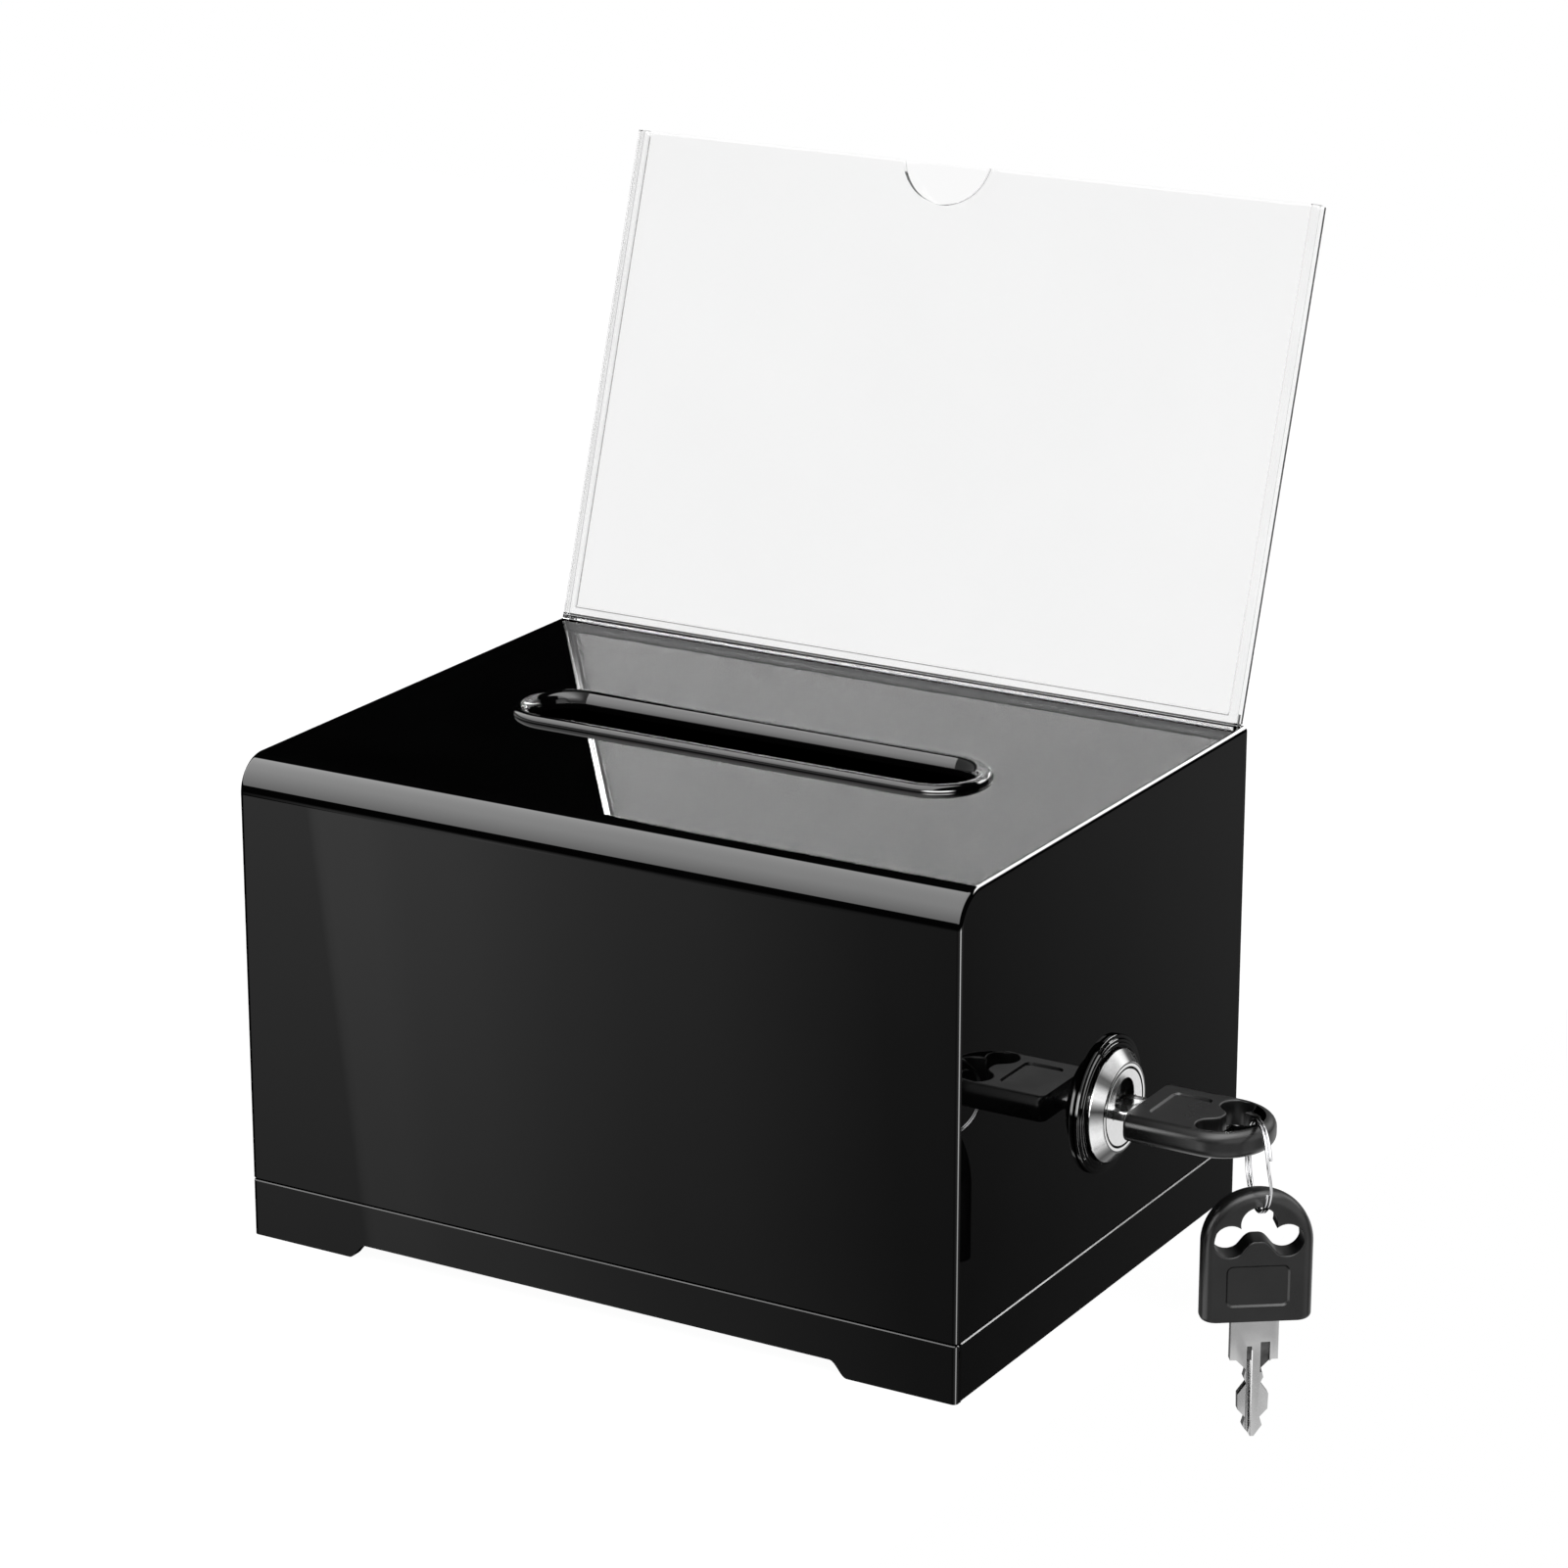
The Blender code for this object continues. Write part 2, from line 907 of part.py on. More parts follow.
def make_wafer(parts, centre, number, face):
    name = "wafer_" + str(number + 1)
    near = face - wafer_first - number * wafer_pitch - wafer_thickness
    half_y = wafer_width / 2
    half_z = wafer_height / 2
    plate = prism(
        name,
        ((-half_y, -half_z), (half_y, -half_z), (half_y, half_z), (-half_y, half_z)),
        centre + right * near,
        Vector((0, 1, 0)),
        up,
        right,
        wafer_thickness,
        look_for("brass", name),
    )
    window_y = blade_width / 2 + keyway_play
    window_z = blade_thickness / 2 + keyway_play
    window = prism(
        "window",
        (
            (-window_y, -window_z),
            (window_y, -window_z),
            (window_y, window_z),
            (-window_y, window_z),
        ),
        centre + right * (near - overrun),
        Vector((0, 1, 0)),
        up,
        right,
        wafer_thickness + 2 * overrun,
    )
    parts[name] = cut(plate, window)


def make_cam(parts, centre, end, tail_end):
    name = "cam"
    face = end - cam_gap - cam_thickness
    radius = cam_width / 2
    outline = []
    half = small_facets // 2
    for step in range(half + 1):
        a = pi * step / half
        outline.append((radius * cos(a), radius * sin(a)))
    reach = cam_throw - radius
    for step in range(half + 1):
        a = pi + pi * step / half
        outline.append((radius * cos(a), -reach + radius * sin(a)))
    body = prism(
        name,
        outline,
        centre + right * face,
        Vector((0, 1, 0)),
        up,
        right,
        cam_thickness,
        look_for("zinc", name),
        smooth=True,
    )
    hole = tail_width / 2 + tail_play
    square = prism(
        "square",
        ((-hole, -hole), (hole, -hole), (hole, hole), (-hole, hole)),
        centre + right * (face - overrun),
        Vector((0, 1, 0)),
        up,
        right,
        cam_thickness + 2 * overrun,
    )
    parts[name] = cut(body, square)

    name = "cam_washer"
    top = tail_end - seat_gap
    washer = turned(
        name,
        (
            (top - tail_washer_thickness, tail_washer_radius),
            (top, tail_washer_radius),
        ),
        centre,
        look_for("zinc", name),
        facets=small_facets,
    )
    bore = turned(
        "washer_bore",
        (
            (top - tail_washer_thickness - overrun, cam_screw_radius + screw_play),
            (top + overrun, cam_screw_radius + screw_play),
        ),
        centre,
        facets=small_facets,
    )
    parts[name] = cut(washer, bore)
    seat = top - tail_washer_thickness - seat_gap
    reach = end + plug_end_wall - screw_web - screw_play - seat
    make_screw(
        parts,
        "cam_screw",
        centre + right * seat,
        -right,
        up,
        (cam_screw_head_radius, cam_screw_head_height),
        (cam_screw_radius, reach),
        "zinc",
    )


def head_loop(inset):
    """The head's outline, rounded off by inset at its sides and bow but not at its flat end."""
    radius = head_width / 2
    middle = head_length - radius
    points = []
    corner = head_corner
    for step in range(5):
        a = -pi + pi / 2 * step / 4
        points.append((-radius + inset + corner + corner * cos(a), corner + corner * sin(a)))
    for step in range(5):
        a = -pi / 2 + pi / 2 * step / 4
        points.append((radius - inset - corner + corner * cos(a), corner + corner * sin(a)))
    for step in range(small_facets // 2 + 1):
        a = pi * step / (small_facets // 2)
        points.append(((radius - inset) * cos(a), middle + (radius - inset) * sin(a)))
    return points


def bow_hole():
    """Outline of the three-lobed hole in a key's head."""
    lobe_height = bow_lobe_height - lobe_drop
    apart = sqrt(lobe_side**2 + lobe_drop**2)
    toward = atan2(lobe_drop, -lobe_side)
    along = (apart**2 + lobe_radius**2 - bow_lobe_radius**2) / (2 * apart)
    cusp = toward - acos(min(1, max(-1, along / lobe_radius)))
    cusp_u = lobe_side + lobe_radius * cos(cusp)
    cusp_v = lobe_height + lobe_radius * sin(cusp)
    bow_start = atan2(cusp_v - bow_lobe_height, cusp_u)
    low = -pi
    side = []
    for step in range(lobe_facets + 1):
        a = low + (cusp - low) * step / lobe_facets
        side.append((lobe_side + lobe_radius * cos(a), lobe_height + lobe_radius * sin(a)))
    points = list(side)
    for step in range(1, lobe_facets):
        a = bow_start + (pi - 2 * bow_start) * step / lobe_facets
        points.append((bow_lobe_radius * cos(a), bow_lobe_height + bow_lobe_radius * sin(a)))
    points += [(-u, v) for u, v in reversed(side)]
    return points


def make_key(parts, prefix, base, along, flat):
    """A key: base is the middle of its head's flat end, along points to its bow."""
    across = along.cross(flat)
    half = head_thickness / 2
    straight = half - head_rounding
    levels = []
    for step in range(5):
        a = pi / 2 * (1 - step / 4)
        levels.append((-straight - head_rounding * sin(a), head_rounding * (1 - cos(a))))
    for step in range(5):
        a = pi / 2 * step / 4
        levels.append((straight + head_rounding * sin(a), head_rounding * (1 - cos(a))))
    name = prefix + "_head"
    loops = [
        [base + across * u + along * v + flat * w for u, v in head_loop(inset)]
        for w, inset in levels
    ]
    head = loft(name, loops, look_for("plastic", name), smooth=True)
    hole = prism(
        "bow",
        bow_hole(),
        base - flat * (half + overrun),
        across,
        along,
        flat,
        head_thickness + 2 * overrun,
    )
    cutters = [hole]
    label = rounded_rectangle(
        label_width,
        label_length,
        label_corner,
        (0, label_from_end + label_length / 2),
    )
    for side in (-1, 1):
        start = half - label_depth if side > 0 else -half - overrun
        cutters.append(
            prism(
                "label",
                label,
                base + flat * start,
                across,
                along,
                flat,
                label_depth + overrun,
            )
        )
    pocket_half = tang_width / 2 + tang_play
    flat_half = blade_thickness / 2 + tang_play
    cutters.append(
        prism(
            "tang_pocket",
            (
                (-pocket_half, -flat_half),
                (pocket_half, -flat_half),
                (pocket_half, flat_half),
                (-pocket_half, flat_half),
            ),
            base - along * overrun,
            across,
            flat,
            along,
            tang_length + tang_play + overrun,
        )
    )
    parts[name] = cut(head, *cutters)
    shade(parts[name], 28.0)

    name = prefix + "_blade"
    cut_length = blade_length - shoulder_length
    right_side = [
        (blade_width / 2 * wide, -shoulder_length - cut_length * share)
        for share, wide in blade_shares
    ]
    shoulder = shoulder_width / 2
    tang = tang_width / 2
    outline = [
        (tang, tang_length),
        (tang, -tang_play),
        (shoulder, -tang_play),
        (shoulder, -shoulder_length),
    ]
    outline += right_side
    outline += [(-u, v) for u, v in reversed(outline)]
    start = base - flat * (blade_thickness / 2)
    blade = prism(
        name, outline, start, across, along, flat, blade_thickness, look_for("steel", name)
    )
    cutters = []
    for side in (-1, 1):
        low = blade_thickness / 2 - groove_depth if side > 0 else -blade_thickness / 2 - overrun
        cutters.append(
            prism(
                "groove",
                (
                    (-groove_width / 2, -blade_length - overrun),
                    (groove_width / 2, -blade_length - overrun),
                    (groove_width / 2, -groove_start),
                    (-groove_width / 2, -groove_start),
                ),
                base + flat * low,
                across,
                along,
                flat,
                groove_depth + overrun,
            )
        )
    low = pocket_offset - pocket_width / 2
    high = pocket_offset + pocket_width / 2
    cutters.append(
        prism(
            "pocket",
            (
                (low, -shoulder_length - overrun * 2),
                (high, -shoulder_length - overrun * 2),
                (high, -shoulder_length + pocket_length),
                (low, -shoulder_length + pocket_length),
            ),
            base + flat * (blade_thickness / 2 - pocket_depth),
            across,
            along,
            flat,
            pocket_depth + overrun,
        )
    )
    parts[name] = cut(blade, *cutters)


def ring_frame():
    """The ring's centre, and the level way that its plane runs towards the front.

    The ring goes down through the bow lobe of the key that is in the lock, keeps a small gap
    to its edge, and rests over the rim of the head.
    """
    bearing = radians(ring_bearing_deg)
    level = Vector((sin(bearing), -cos(bearing), 0))
    side = level.cross(up)
    half = head_thickness / 2
    top = lock_height + half
    clear = bow_lobe_radius - ring_wire - ring_turn_gap / 2 - ring_hole_gap
    offset = bow_lobe_radius * ring_chord_share
    near = sqrt(clear**2 - offset**2)
    far = sqrt(bow_lobe_radius**2 - (offset + ring_wire / 2 + ring_turn_gap / 2) ** 2)
    lobe = place(half_width + key_standoff + bow_lobe_height, lock_y, 0)
    height = top - ring_radius
    for _ in range(12):
        below = height - (lock_height - half)
        reach = sqrt(ring_radius**2 - below**2)
        inner_edge = reach - near - far
        rise = sqrt(ring_radius**2 - inner_edge**2)
        lift = (ring_wire / 2 + ring_rest_gap) * ring_radius / rise
        height = top + lift - rise
    centre = lobe - side * offset + level * (reach - near)
    centre.z = height
    return centre, level


def make_ring(parts):
    """Two turns of wire side by side, which change places at a short jog between their ends."""
    name = "key_ring"
    centre, level = ring_frame()
    side = level.cross(up)
    pitch = ring_wire + ring_turn_gap
    jog = radians(ring_jog_deg)
    spare = ring_end_gap / ring_radius
    turn = 4 * pi - jog - 2 * spare
    steps = 2 * ring_steps
    loops = []
    for step in range(steps + 1):
        share = step / steps
        a = jog / 2 + spare + turn * share + radians(ring_jog_at_deg)
        across = (share - 1 / 2) * turn / (jog / 2)
        across = max(-1, min(1, across))
        shift = across * (3 - across**2) / 2
        middle = centre + side * (pitch / 2 * shift)
        out = level * cos(a) + up * sin(a)
        loops.append(
            [
                middle
                + out * (ring_radius + ring_wire / 2 * cos(b))
                + side * (ring_wire / 2 * sin(b))
                for b in (2 * pi * k / wire_facets for k in range(wire_facets))
            ]
        )
    parts[name] = loft(name, loops, look_for("steel", name), smooth=True)


def make_keys(parts):
    start = place(half_width + key_standoff, lock_y, lock_height)
    make_key(parts, "key", start, right, up)
    make_ring(parts)
    centre, level = ring_frame()
    bearing = radians(spare_bearing_deg)
    flat = Vector((sin(bearing), -cos(bearing), 0))
    reach = head_thickness / 2
    sag = ring_radius - sqrt(ring_radius**2 - reach**2)
    hole_top = bow_lobe_height + bow_lobe_radius
    wire_top = centre.z - ring_radius + ring_wire / 2 + sag + spare_rest_gap
    base = Vector((centre.x, centre.y, wire_top - hole_top))
    make_key(parts, "spare_key", base, up, flat)


def make_sign(parts):
    rise, back = sign_axes()
    foot_y, foot_z = sign_foot()
    lean = radians(sign_lean_deg)
    half = sign_width / 2
    layers = (
        ("sign_front_sheet", 0, sign_sheet),
        ("sign_back_sheet", sign_sheet + sign_pocket, sign_sheet),
    )
    base = Vector((0, foot_y, foot_z))
    for name, start, thick in layers:
        made = leaning_slab(name, start, thick, -half, half, 0, sign_height)
        if name == "sign_front_sheet":
            centre = place(0, foot_y, foot_z) + right * thumb_offset_x
            centre = centre + rise * (sign_height - thumb_depth + thumb_radius)
            thumb = prism(
                "thumb",
                circle(thumb_radius, small_facets),
                centre - back * overrun,
                right,
                rise,
                back,
                sign_sheet + 2 * overrun,
            )
            made = cut(made, thumb)
            shade(made, 20.0)
        parts[name] = made
    start = sign_sheet + sign_seat_gap
    thick = sign_pocket - 2 * sign_seat_gap
    for side, word in ((-1, "left"), (1, "right")):
        name = "sign_strip_" + word
        low = min(side * half, side * (half - sign_side_strip))
        parts[name] = leaning_slab(
            name,
            start,
            thick,
            low,
            low + sign_side_strip,
            sign_bottom_strip + sign_seat_gap,
            sign_height,
            square=True,
        )
    name = "sign_bottom_strip"
    bar = leaning_slab(name, start, thick, -half, half, 0, sign_bottom_strip)
    tab_half = sign_tab_width / 2
    tab = prism(
        "tab",
        (
            (-tab_half, -sign_tab_depth),
            (tab_half, -sign_tab_depth),
            (tab_half, sign_bottom_strip / 2),
            (-tab_half, sign_bottom_strip / 2),
        ),
        place(0, foot_y, foot_z) + back * start,
        right,
        rise,
        back,
        thick,
    )
    parts[name] = cut(bar, tab, join=True)


def leaning_slab(name, start, thick, low_x, high_x, low, high, square=False):
    """A slab of the sign holder; its foot is cut level unless it is asked to be square."""
    rise, back = sign_axes()
    foot_y, foot_z = sign_foot()
    lean = radians(sign_lean_deg)
    near = place(low_x, foot_y, foot_z) + back * start
    far = near + back * thick
    extra_near = 0 if square else start * sin(lean) / cos(lean)
    extra_far = 0 if square else (start + thick) * sin(lean) / cos(lean)
    section = [
        near + rise * (low + extra_near),
        far + rise * (low + extra_far),
        far + rise * high,
        near + rise * high,
    ]
    other = [point + right * (high_x - low_x) for point in section]
    return loft(name, [section, other], look_for("clear", name))


def group_under(parts, name, pivot, members, parent=None):
    """An empty on a joint's axis that carries the pieces which move with it."""
    carrier = bpy.data.objects.new(name, None)
    carrier.empty_display_size = seat_gap
    bpy.context.scene.collection.objects.link(carrier)
    carrier.location = pivot
    bpy.context.view_layer.update()
    if parent is not None:
        carrier.parent = parent
        carrier.matrix_parent_inverse = parent.matrix_world.inverted()
        bpy.context.view_layer.update()
    for member in members:
        made = parts[member]
        set_origin(made, pivot)
        made.parent = carrier
        made.matrix_parent_inverse = Matrix.Translation(-pivot)
    bpy.context.view_layer.update()
    return carrier


def build():
    clear_scene()
    looks.update(make_looks())
    parts = {}
    make_base(parts)
    make_casing(parts)
    make_lock(parts)
    make_keys(parts)
    make_sign(parts)

    lock_pivot = place(half_width, lock_y, lock_height)
    ring_centre, level = ring_frame()
    foot_y, foot_z = sign_foot()
    casing = [
        "front_top_panel",
        "side_panel_left",
        "side_panel_right",
        "back_panel",
        "slot_rim",
        "lock_washer",
        "lock_barrel",
        "lock_nut",
    ]
    lift = group_under(parts, "casing_lift", place(0, origin_y, seam_height), casing)
    turn_parts = ["lock_plug", "cam", "cam_washer", "cam_screw"]
    turn_parts += ["wafer_" + str(number + 1) for number in range(wafer_count)]
    turn = group_under(parts, "plug_turn", lock_pivot, turn_parts, lift)
    pull = group_under(parts, "key_pull", lock_pivot, ["key_head", "key_blade"], turn)
    swing = group_under(parts, "ring_swing", ring_centre, ["key_ring"], pull)
    hang = ring_centre - up * ring_radius
    group_under(parts, "spare_swing", hang, ["spare_key_head", "spare_key_blade"], swing)
    sign = [name for name in parts if name.startswith("sign_")]
    group_under(parts, "sign_lift", place(0, foot_y, foot_z), sign, lift)


build()
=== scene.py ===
from math import acos, atan2, cos, pi, radians, sin, sqrt, tan

import bmesh
import bpy
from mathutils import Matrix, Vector


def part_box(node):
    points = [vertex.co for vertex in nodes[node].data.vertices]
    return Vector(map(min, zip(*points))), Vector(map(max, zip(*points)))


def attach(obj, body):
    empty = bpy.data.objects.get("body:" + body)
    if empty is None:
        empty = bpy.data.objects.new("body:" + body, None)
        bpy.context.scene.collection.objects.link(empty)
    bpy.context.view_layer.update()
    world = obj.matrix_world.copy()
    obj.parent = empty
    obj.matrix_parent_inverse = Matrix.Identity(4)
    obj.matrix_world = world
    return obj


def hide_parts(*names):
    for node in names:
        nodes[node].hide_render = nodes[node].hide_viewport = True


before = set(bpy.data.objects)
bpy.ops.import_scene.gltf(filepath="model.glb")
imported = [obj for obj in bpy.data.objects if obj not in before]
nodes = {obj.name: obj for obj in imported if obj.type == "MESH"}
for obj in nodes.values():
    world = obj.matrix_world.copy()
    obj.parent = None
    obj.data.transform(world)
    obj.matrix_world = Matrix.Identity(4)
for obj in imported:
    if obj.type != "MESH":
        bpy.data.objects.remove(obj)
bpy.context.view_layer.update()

# Looks of a black acrylic suggestion box with a clear sign holder, a cam lock and two keys.
# Lengths are millimetres from the middle of the box's front bottom edge: x to the right,
# y to the back, z up. P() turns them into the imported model's frame.

MM = 0.001
PACK_X, PACK_Y = 76.5, -57.5
X = Vector((1, 0, 0))
Y = Vector((0, 1, 0))
Z = Vector((0, 0, 1))


def P(x, y, z):
    return Vector(((x + PACK_X) * MM, (y + PACK_Y) * MM, z * MM))


# Sizes, in millimetres

HALF, DEEP, HIGH = 77.5, 115.0, 96.7
SHEET = 2.0
BEND = 7.0
SEAM = 11.4
PLAY = 0.3
LOW = SEAM + PLAY
EDGE_ROUND = 0.95
EASED = 0.15

FOOT_LONG, FOOT_RAMP, NOTCH_HIGH = 22.5, 3.7, 3.0

SLOT_X, SLOT_Y = -0.2, 57.7
SLOT_LONG, SLOT_WIDE = 99.0, 17.0
RIM_SEAT = 0.9

LOCK_Y, LOCK_Z = 57.5, 38.6
LOCK_HOLE = 9.5
BARREL_R, BARREL_END = 9.3, -20.5

HEAD_R, HEAD_LONG, HEAD_HALF = 10.4, 25.5, 2.6
SIDE_R, SIDE_U, SIDE_V = 3.1, 5.3, 16.0
BOW_R, BOW_V = 3.4, 19.2
LINK_U = (0.5, 2.0, 2.5, 3.52)
LINK_V = (15.9, 15.9, 14.4, 13.46)
BLADE_HALF = 0.9
KEY_X = 86.0
SPARE_TURN = radians(36.0)

RING_R, RING_WIRE, RING_PITCH = 8.4, 0.3, 0.62
RING_MIDDLE = Vector((0.187282, -0.003494, 0.034186))
RING_TURN = radians(-51.0)

LEAN = radians(18.0)
RISE = Vector((0, sin(LEAN), cos(LEAN)))
BACK = Vector((0, cos(LEAN), -sin(LEAN)))
SIGN_HALF, SIGN_TALL = 76.4, 101.6
SIGN_SHEET, SIGN_POCKET = 1.4, 1.2
SIDE_STRIP, BOTTOM_STRIP = 1.9, 3.1
STRIP_AT, STRIP_THICK = 1.5, 1.0
TAB_HALF, TAB_DEEP = 45.6, 6.0
THUMB_R, THUMB_X, THUMB_DEEP = 9.9, -4.5, 8.2
FOOT_Y = DEEP - (2 * SIGN_SHEET + SIGN_POCKET) / cos(LEAN)
FOOT_Z = HIGH + 0.2


# Materials


class Nodes:
    """A few short words for building a node tree."""

    def __init__(self, tree):
        self.tree = tree

    def add(self, kind, **values):
        node = self.tree.nodes.new(kind)
        for key, value in values.items():
            setattr(node, key, value)
        return node

    def link(self, out, into):
        self.tree.links.new(out, into)
        return into

    def feed(self, socket, value):
        if isinstance(value, bpy.types.NodeSocket):
            self.link(value, socket)
        else:
            socket.default_value = value

    def math(self, operation, a, b=0.0):
        node = self.add("ShaderNodeMath", operation=operation)
        self.feed(node.inputs[0], a)
        self.feed(node.inputs[1], b)
        return node.outputs[0]

    def ramp(self, value, low, high, to_low=0.0, to_high=1.0, smooth=False):
        node = self.add("ShaderNodeMapRange")
        node.interpolation_type = "SMOOTHSTEP" if smooth else "LINEAR"
        self.feed(node.inputs[0], value)
        self.feed(node.inputs[1], low)
        self.feed(node.inputs[2], high)
        self.feed(node.inputs[3], to_low)
        self.feed(node.inputs[4], to_high)
        return node.outputs[0]

    def noise(self, scale, detail=2.0, stretch=(1, 1, 1), rough=0.5):
        place = self.add("ShaderNodeTexCoord")
        shape = self.add("ShaderNodeMapping")
        shape.inputs["Scale"].default_value = stretch
        self.link(place.outputs["Object"], shape.inputs["Vector"])
        node = self.add("ShaderNodeTexNoise")
        node.inputs["Scale"].default_value = scale
        node.inputs["Detail"].default_value = detail
        node.inputs["Roughness"].default_value = rough
        self.link(shape.outputs[0], node.inputs["Vector"])
        return node.outputs[0]

    def colours(self, fac, stops):
        node = self.add("ShaderNodeValToRGB")
        ramp = node.color_ramp
        while len(ramp.elements) < len(stops):
            ramp.elements.new(0.5)
        for element, (at, colour) in zip(ramp.elements, stops):
            element.position = at
            element.color = (*colour, 1.0)
        self.link(fac, node.inputs[0])
        return node.outputs[0]

    def bump(self, height, distance, strength=1.0):
        node = self.add("ShaderNodeBump")
        node.inputs["Strength"].default_value = strength
        node.inputs["Distance"].default_value = distance
        self.link(height, node.inputs["Height"])
        return node.outputs[0]


def new_look(name, **values):
    look = bpy.data.materials.new(name)
    look.use_nodes = True
    shader = look.node_tree.nodes["Principled BSDF"]
    for key, value in values.items():
        shader.inputs[key.replace("_", " ")].default_value = value
    return look, shader, Nodes(look.node_tree)


def black_acrylic(name, dark=0.0006, light=0.0012, gloss=(0.0, 0.0034)):
    """Cast black sheet: a mirror-like face with faint handling marks in its gloss."""
    look, shader, n = new_look(name, IOR=1.49)
    cloud = n.noise(38.0, 3.0)
    n.link(n.colours(cloud, ((0.3, (dark,) * 3), (0.7, (light, light, light * 1.05)))),
           shader.inputs["Base Color"])
    wipe = n.noise(55.0, 4.0, (1.0, 3.0, 1.0), 0.6)
    n.link(n.ramp(wipe, 0.35, 0.75, gloss[0], gloss[1]), shader.inputs["Roughness"])
    n.link(n.bump(n.noise(9.0, 1.0), 0.00002, 0.15), shader.inputs["Normal"])
    return look


def clear_acrylic(name):
    """Clear sheet with a faint haze."""
    look, shader, n = new_look(name, IOR=1.49)
    shader.inputs["Transmission Weight"].default_value = 1.0
    haze = n.noise(25.0, 3.0)
    n.link(n.colours(haze, ((0.3, (0.980, 0.980, 0.980)), (0.7, (0.988, 0.988, 0.988)))),
           shader.inputs["Base Color"])
    n.link(n.ramp(haze, 0.3, 0.8, 0.015, 0.03), shader.inputs["Roughness"])
    return look


# besides dried cement, this makes the painted shade along a clear sheet's edge and the painted
# highlight on a board's edge
def cement(name, tone, alpha):
    """Dried cement along a joint, the dark line of a sheet's edge or a board's pale one."""
    look, shader, n = new_look(name, Alpha=alpha, Roughness=0.4)
    cloud = n.noise(300.0, 3.0)
    n.link(n.colours(cloud, ((0.3, (tone,) * 3), (0.7, (tone * 1.3,) * 3))),
           shader.inputs["Base Color"])
    return look


def bonded_acrylic(name):
    """Where two clear pieces are welded face to face, light goes straight on."""
    look, shader, n = new_look(name, IOR=1.0, Roughness=0.0)
    shader.inputs["Transmission Weight"].default_value = 1.0
    haze = n.noise(60.0, 3.0)
    n.link(n.colours(haze, ((0.3, (0.95, 0.95, 0.95)), (0.7, (0.975, 0.975, 0.975)))),
           shader.inputs["Base Color"])
    return look


def moulded_plastic(name):
    """Black moulded plastic with a fine grain."""
    look, shader, n = new_look(name, IOR=1.5)
    patch = n.noise(120.0, 3.0)
    n.link(n.colours(patch, ((0.3, (0.003,) * 3), (0.7, (0.006,) * 3))),
           shader.inputs["Base Color"])
    n.link(n.ramp(patch, 0.3, 0.7, 0.26, 0.34), shader.inputs["Roughness"])
    n.link(n.bump(n.noise(2600.0, 2.0), 0.000012, 0.5), shader.inputs["Normal"])
    return look


def metal(name, dark, light, gloss, scale=400.0, grain=0.000004):
    look, shader, n = new_look(name, Metallic=1.0)
    patch = n.noise(scale, 4.0)
    n.link(n.colours(patch, ((0.3, dark), (0.7, light))), shader.inputs["Base Color"])
    n.link(n.ramp(patch, 0.3, 0.7, gloss[0], gloss[1]), shader.inputs["Roughness"])
    n.link(n.bump(patch, grain, 0.4), shader.inputs["Normal"])
    return look


def lock_painted_light_look(name, centre, by_radius, by_angle=(), pit=None):
    """Bright plating of the lock: levels by distance from its axis and round its bezel.

    These levels are painted light: painted shade in the barrel's mouth, in its groove and at the
    plug's edge, and painted highlights and shade round the bezel's cone. The pit is painted shade
    in a round recess: how far below the axis, its radius and its depth.
    """
    cone_from = 0.00854
    look, shader, n = new_look(name, Metallic=1.0)
    place = n.add("ShaderNodeTexCoord")
    offset = n.add("ShaderNodeVectorMath", operation="SUBTRACT")
    n.link(place.outputs["Object"], offset.inputs[0])
    offset.inputs[1].default_value = centre
    parts = n.add("ShaderNodeSeparateXYZ")
    n.link(offset.outputs[0], parts.inputs[0])
    along, aside, up = parts.outputs

    def distance(drop):
        lifted = n.math("SUBTRACT", up, drop)
        return n.math("SQRT", n.math("ADD", n.math("MULTIPLY", aside, aside),
                                     n.math("MULTIPLY", lifted, lifted)))

    def levels(value, low, high, stops):
        return n.colours(n.ramp(value, low, high),
                         [((at - low) / (high - low), (level,) * 3) for at, level in stops])

    # painted shade and painted highlights as levels by distance from the axis
    radius = distance(0.0)
    level = levels(radius, 0.006, 0.012, by_radius)
    # painted highlights and painted shade round the bezel's cone, by angle
    if by_angle:
        angle = n.math("ARCTAN2", n.math("MULTIPLY", aside, -1.0), up)
        turned = levels(n.math("MULTIPLY", angle, 180 / pi), -180.0, 180.0, by_angle)
        cone = n.math("GREATER_THAN", radius, cone_from)
        flat = n.math("SUBTRACT", 1.0, cone)
        level = n.math("MULTIPLY", level, n.math("ADD", n.math("MULTIPLY", turned, cone), flat))
    # painted shade in the plug's round recess
    if pit:
        drop, size, depth = pit
        inside = n.math("LESS_THAN", distance(drop), size)
        deep = n.math("LESS_THAN", along, depth)
        dimmed = n.math("MULTIPLY", n.math("MULTIPLY", inside, deep), 0.97)
        level = n.math("MULTIPLY", level, n.math("SUBTRACT", 1.0, dimmed))
    grain = n.noise(900.0, 3.0)
    tone = n.math("MULTIPLY", level, n.ramp(grain, 0.3, 0.7, 0.92, 1.0))
    n.link(tone, shader.inputs["Base Color"])
    n.link(n.ramp(grain, 0.3, 0.7, 0.17, 0.23), shader.inputs["Roughness"])
    return look


def nickel(name):
    return metal(name, (0.52, 0.52, 0.52), (0.56, 0.56, 0.56), (0.20, 0.26), scale=300.0,
                 grain=0.000002)


def zinc(name):
    return metal(name, (0.45, 0.46, 0.48), (0.62, 0.63, 0.65), (0.25, 0.42), scale=220.0)


def brass(name):
    return metal(name, (0.56, 0.41, 0.18), (0.68, 0.52, 0.25), (0.2, 0.35), scale=300.0)


# Mesh building


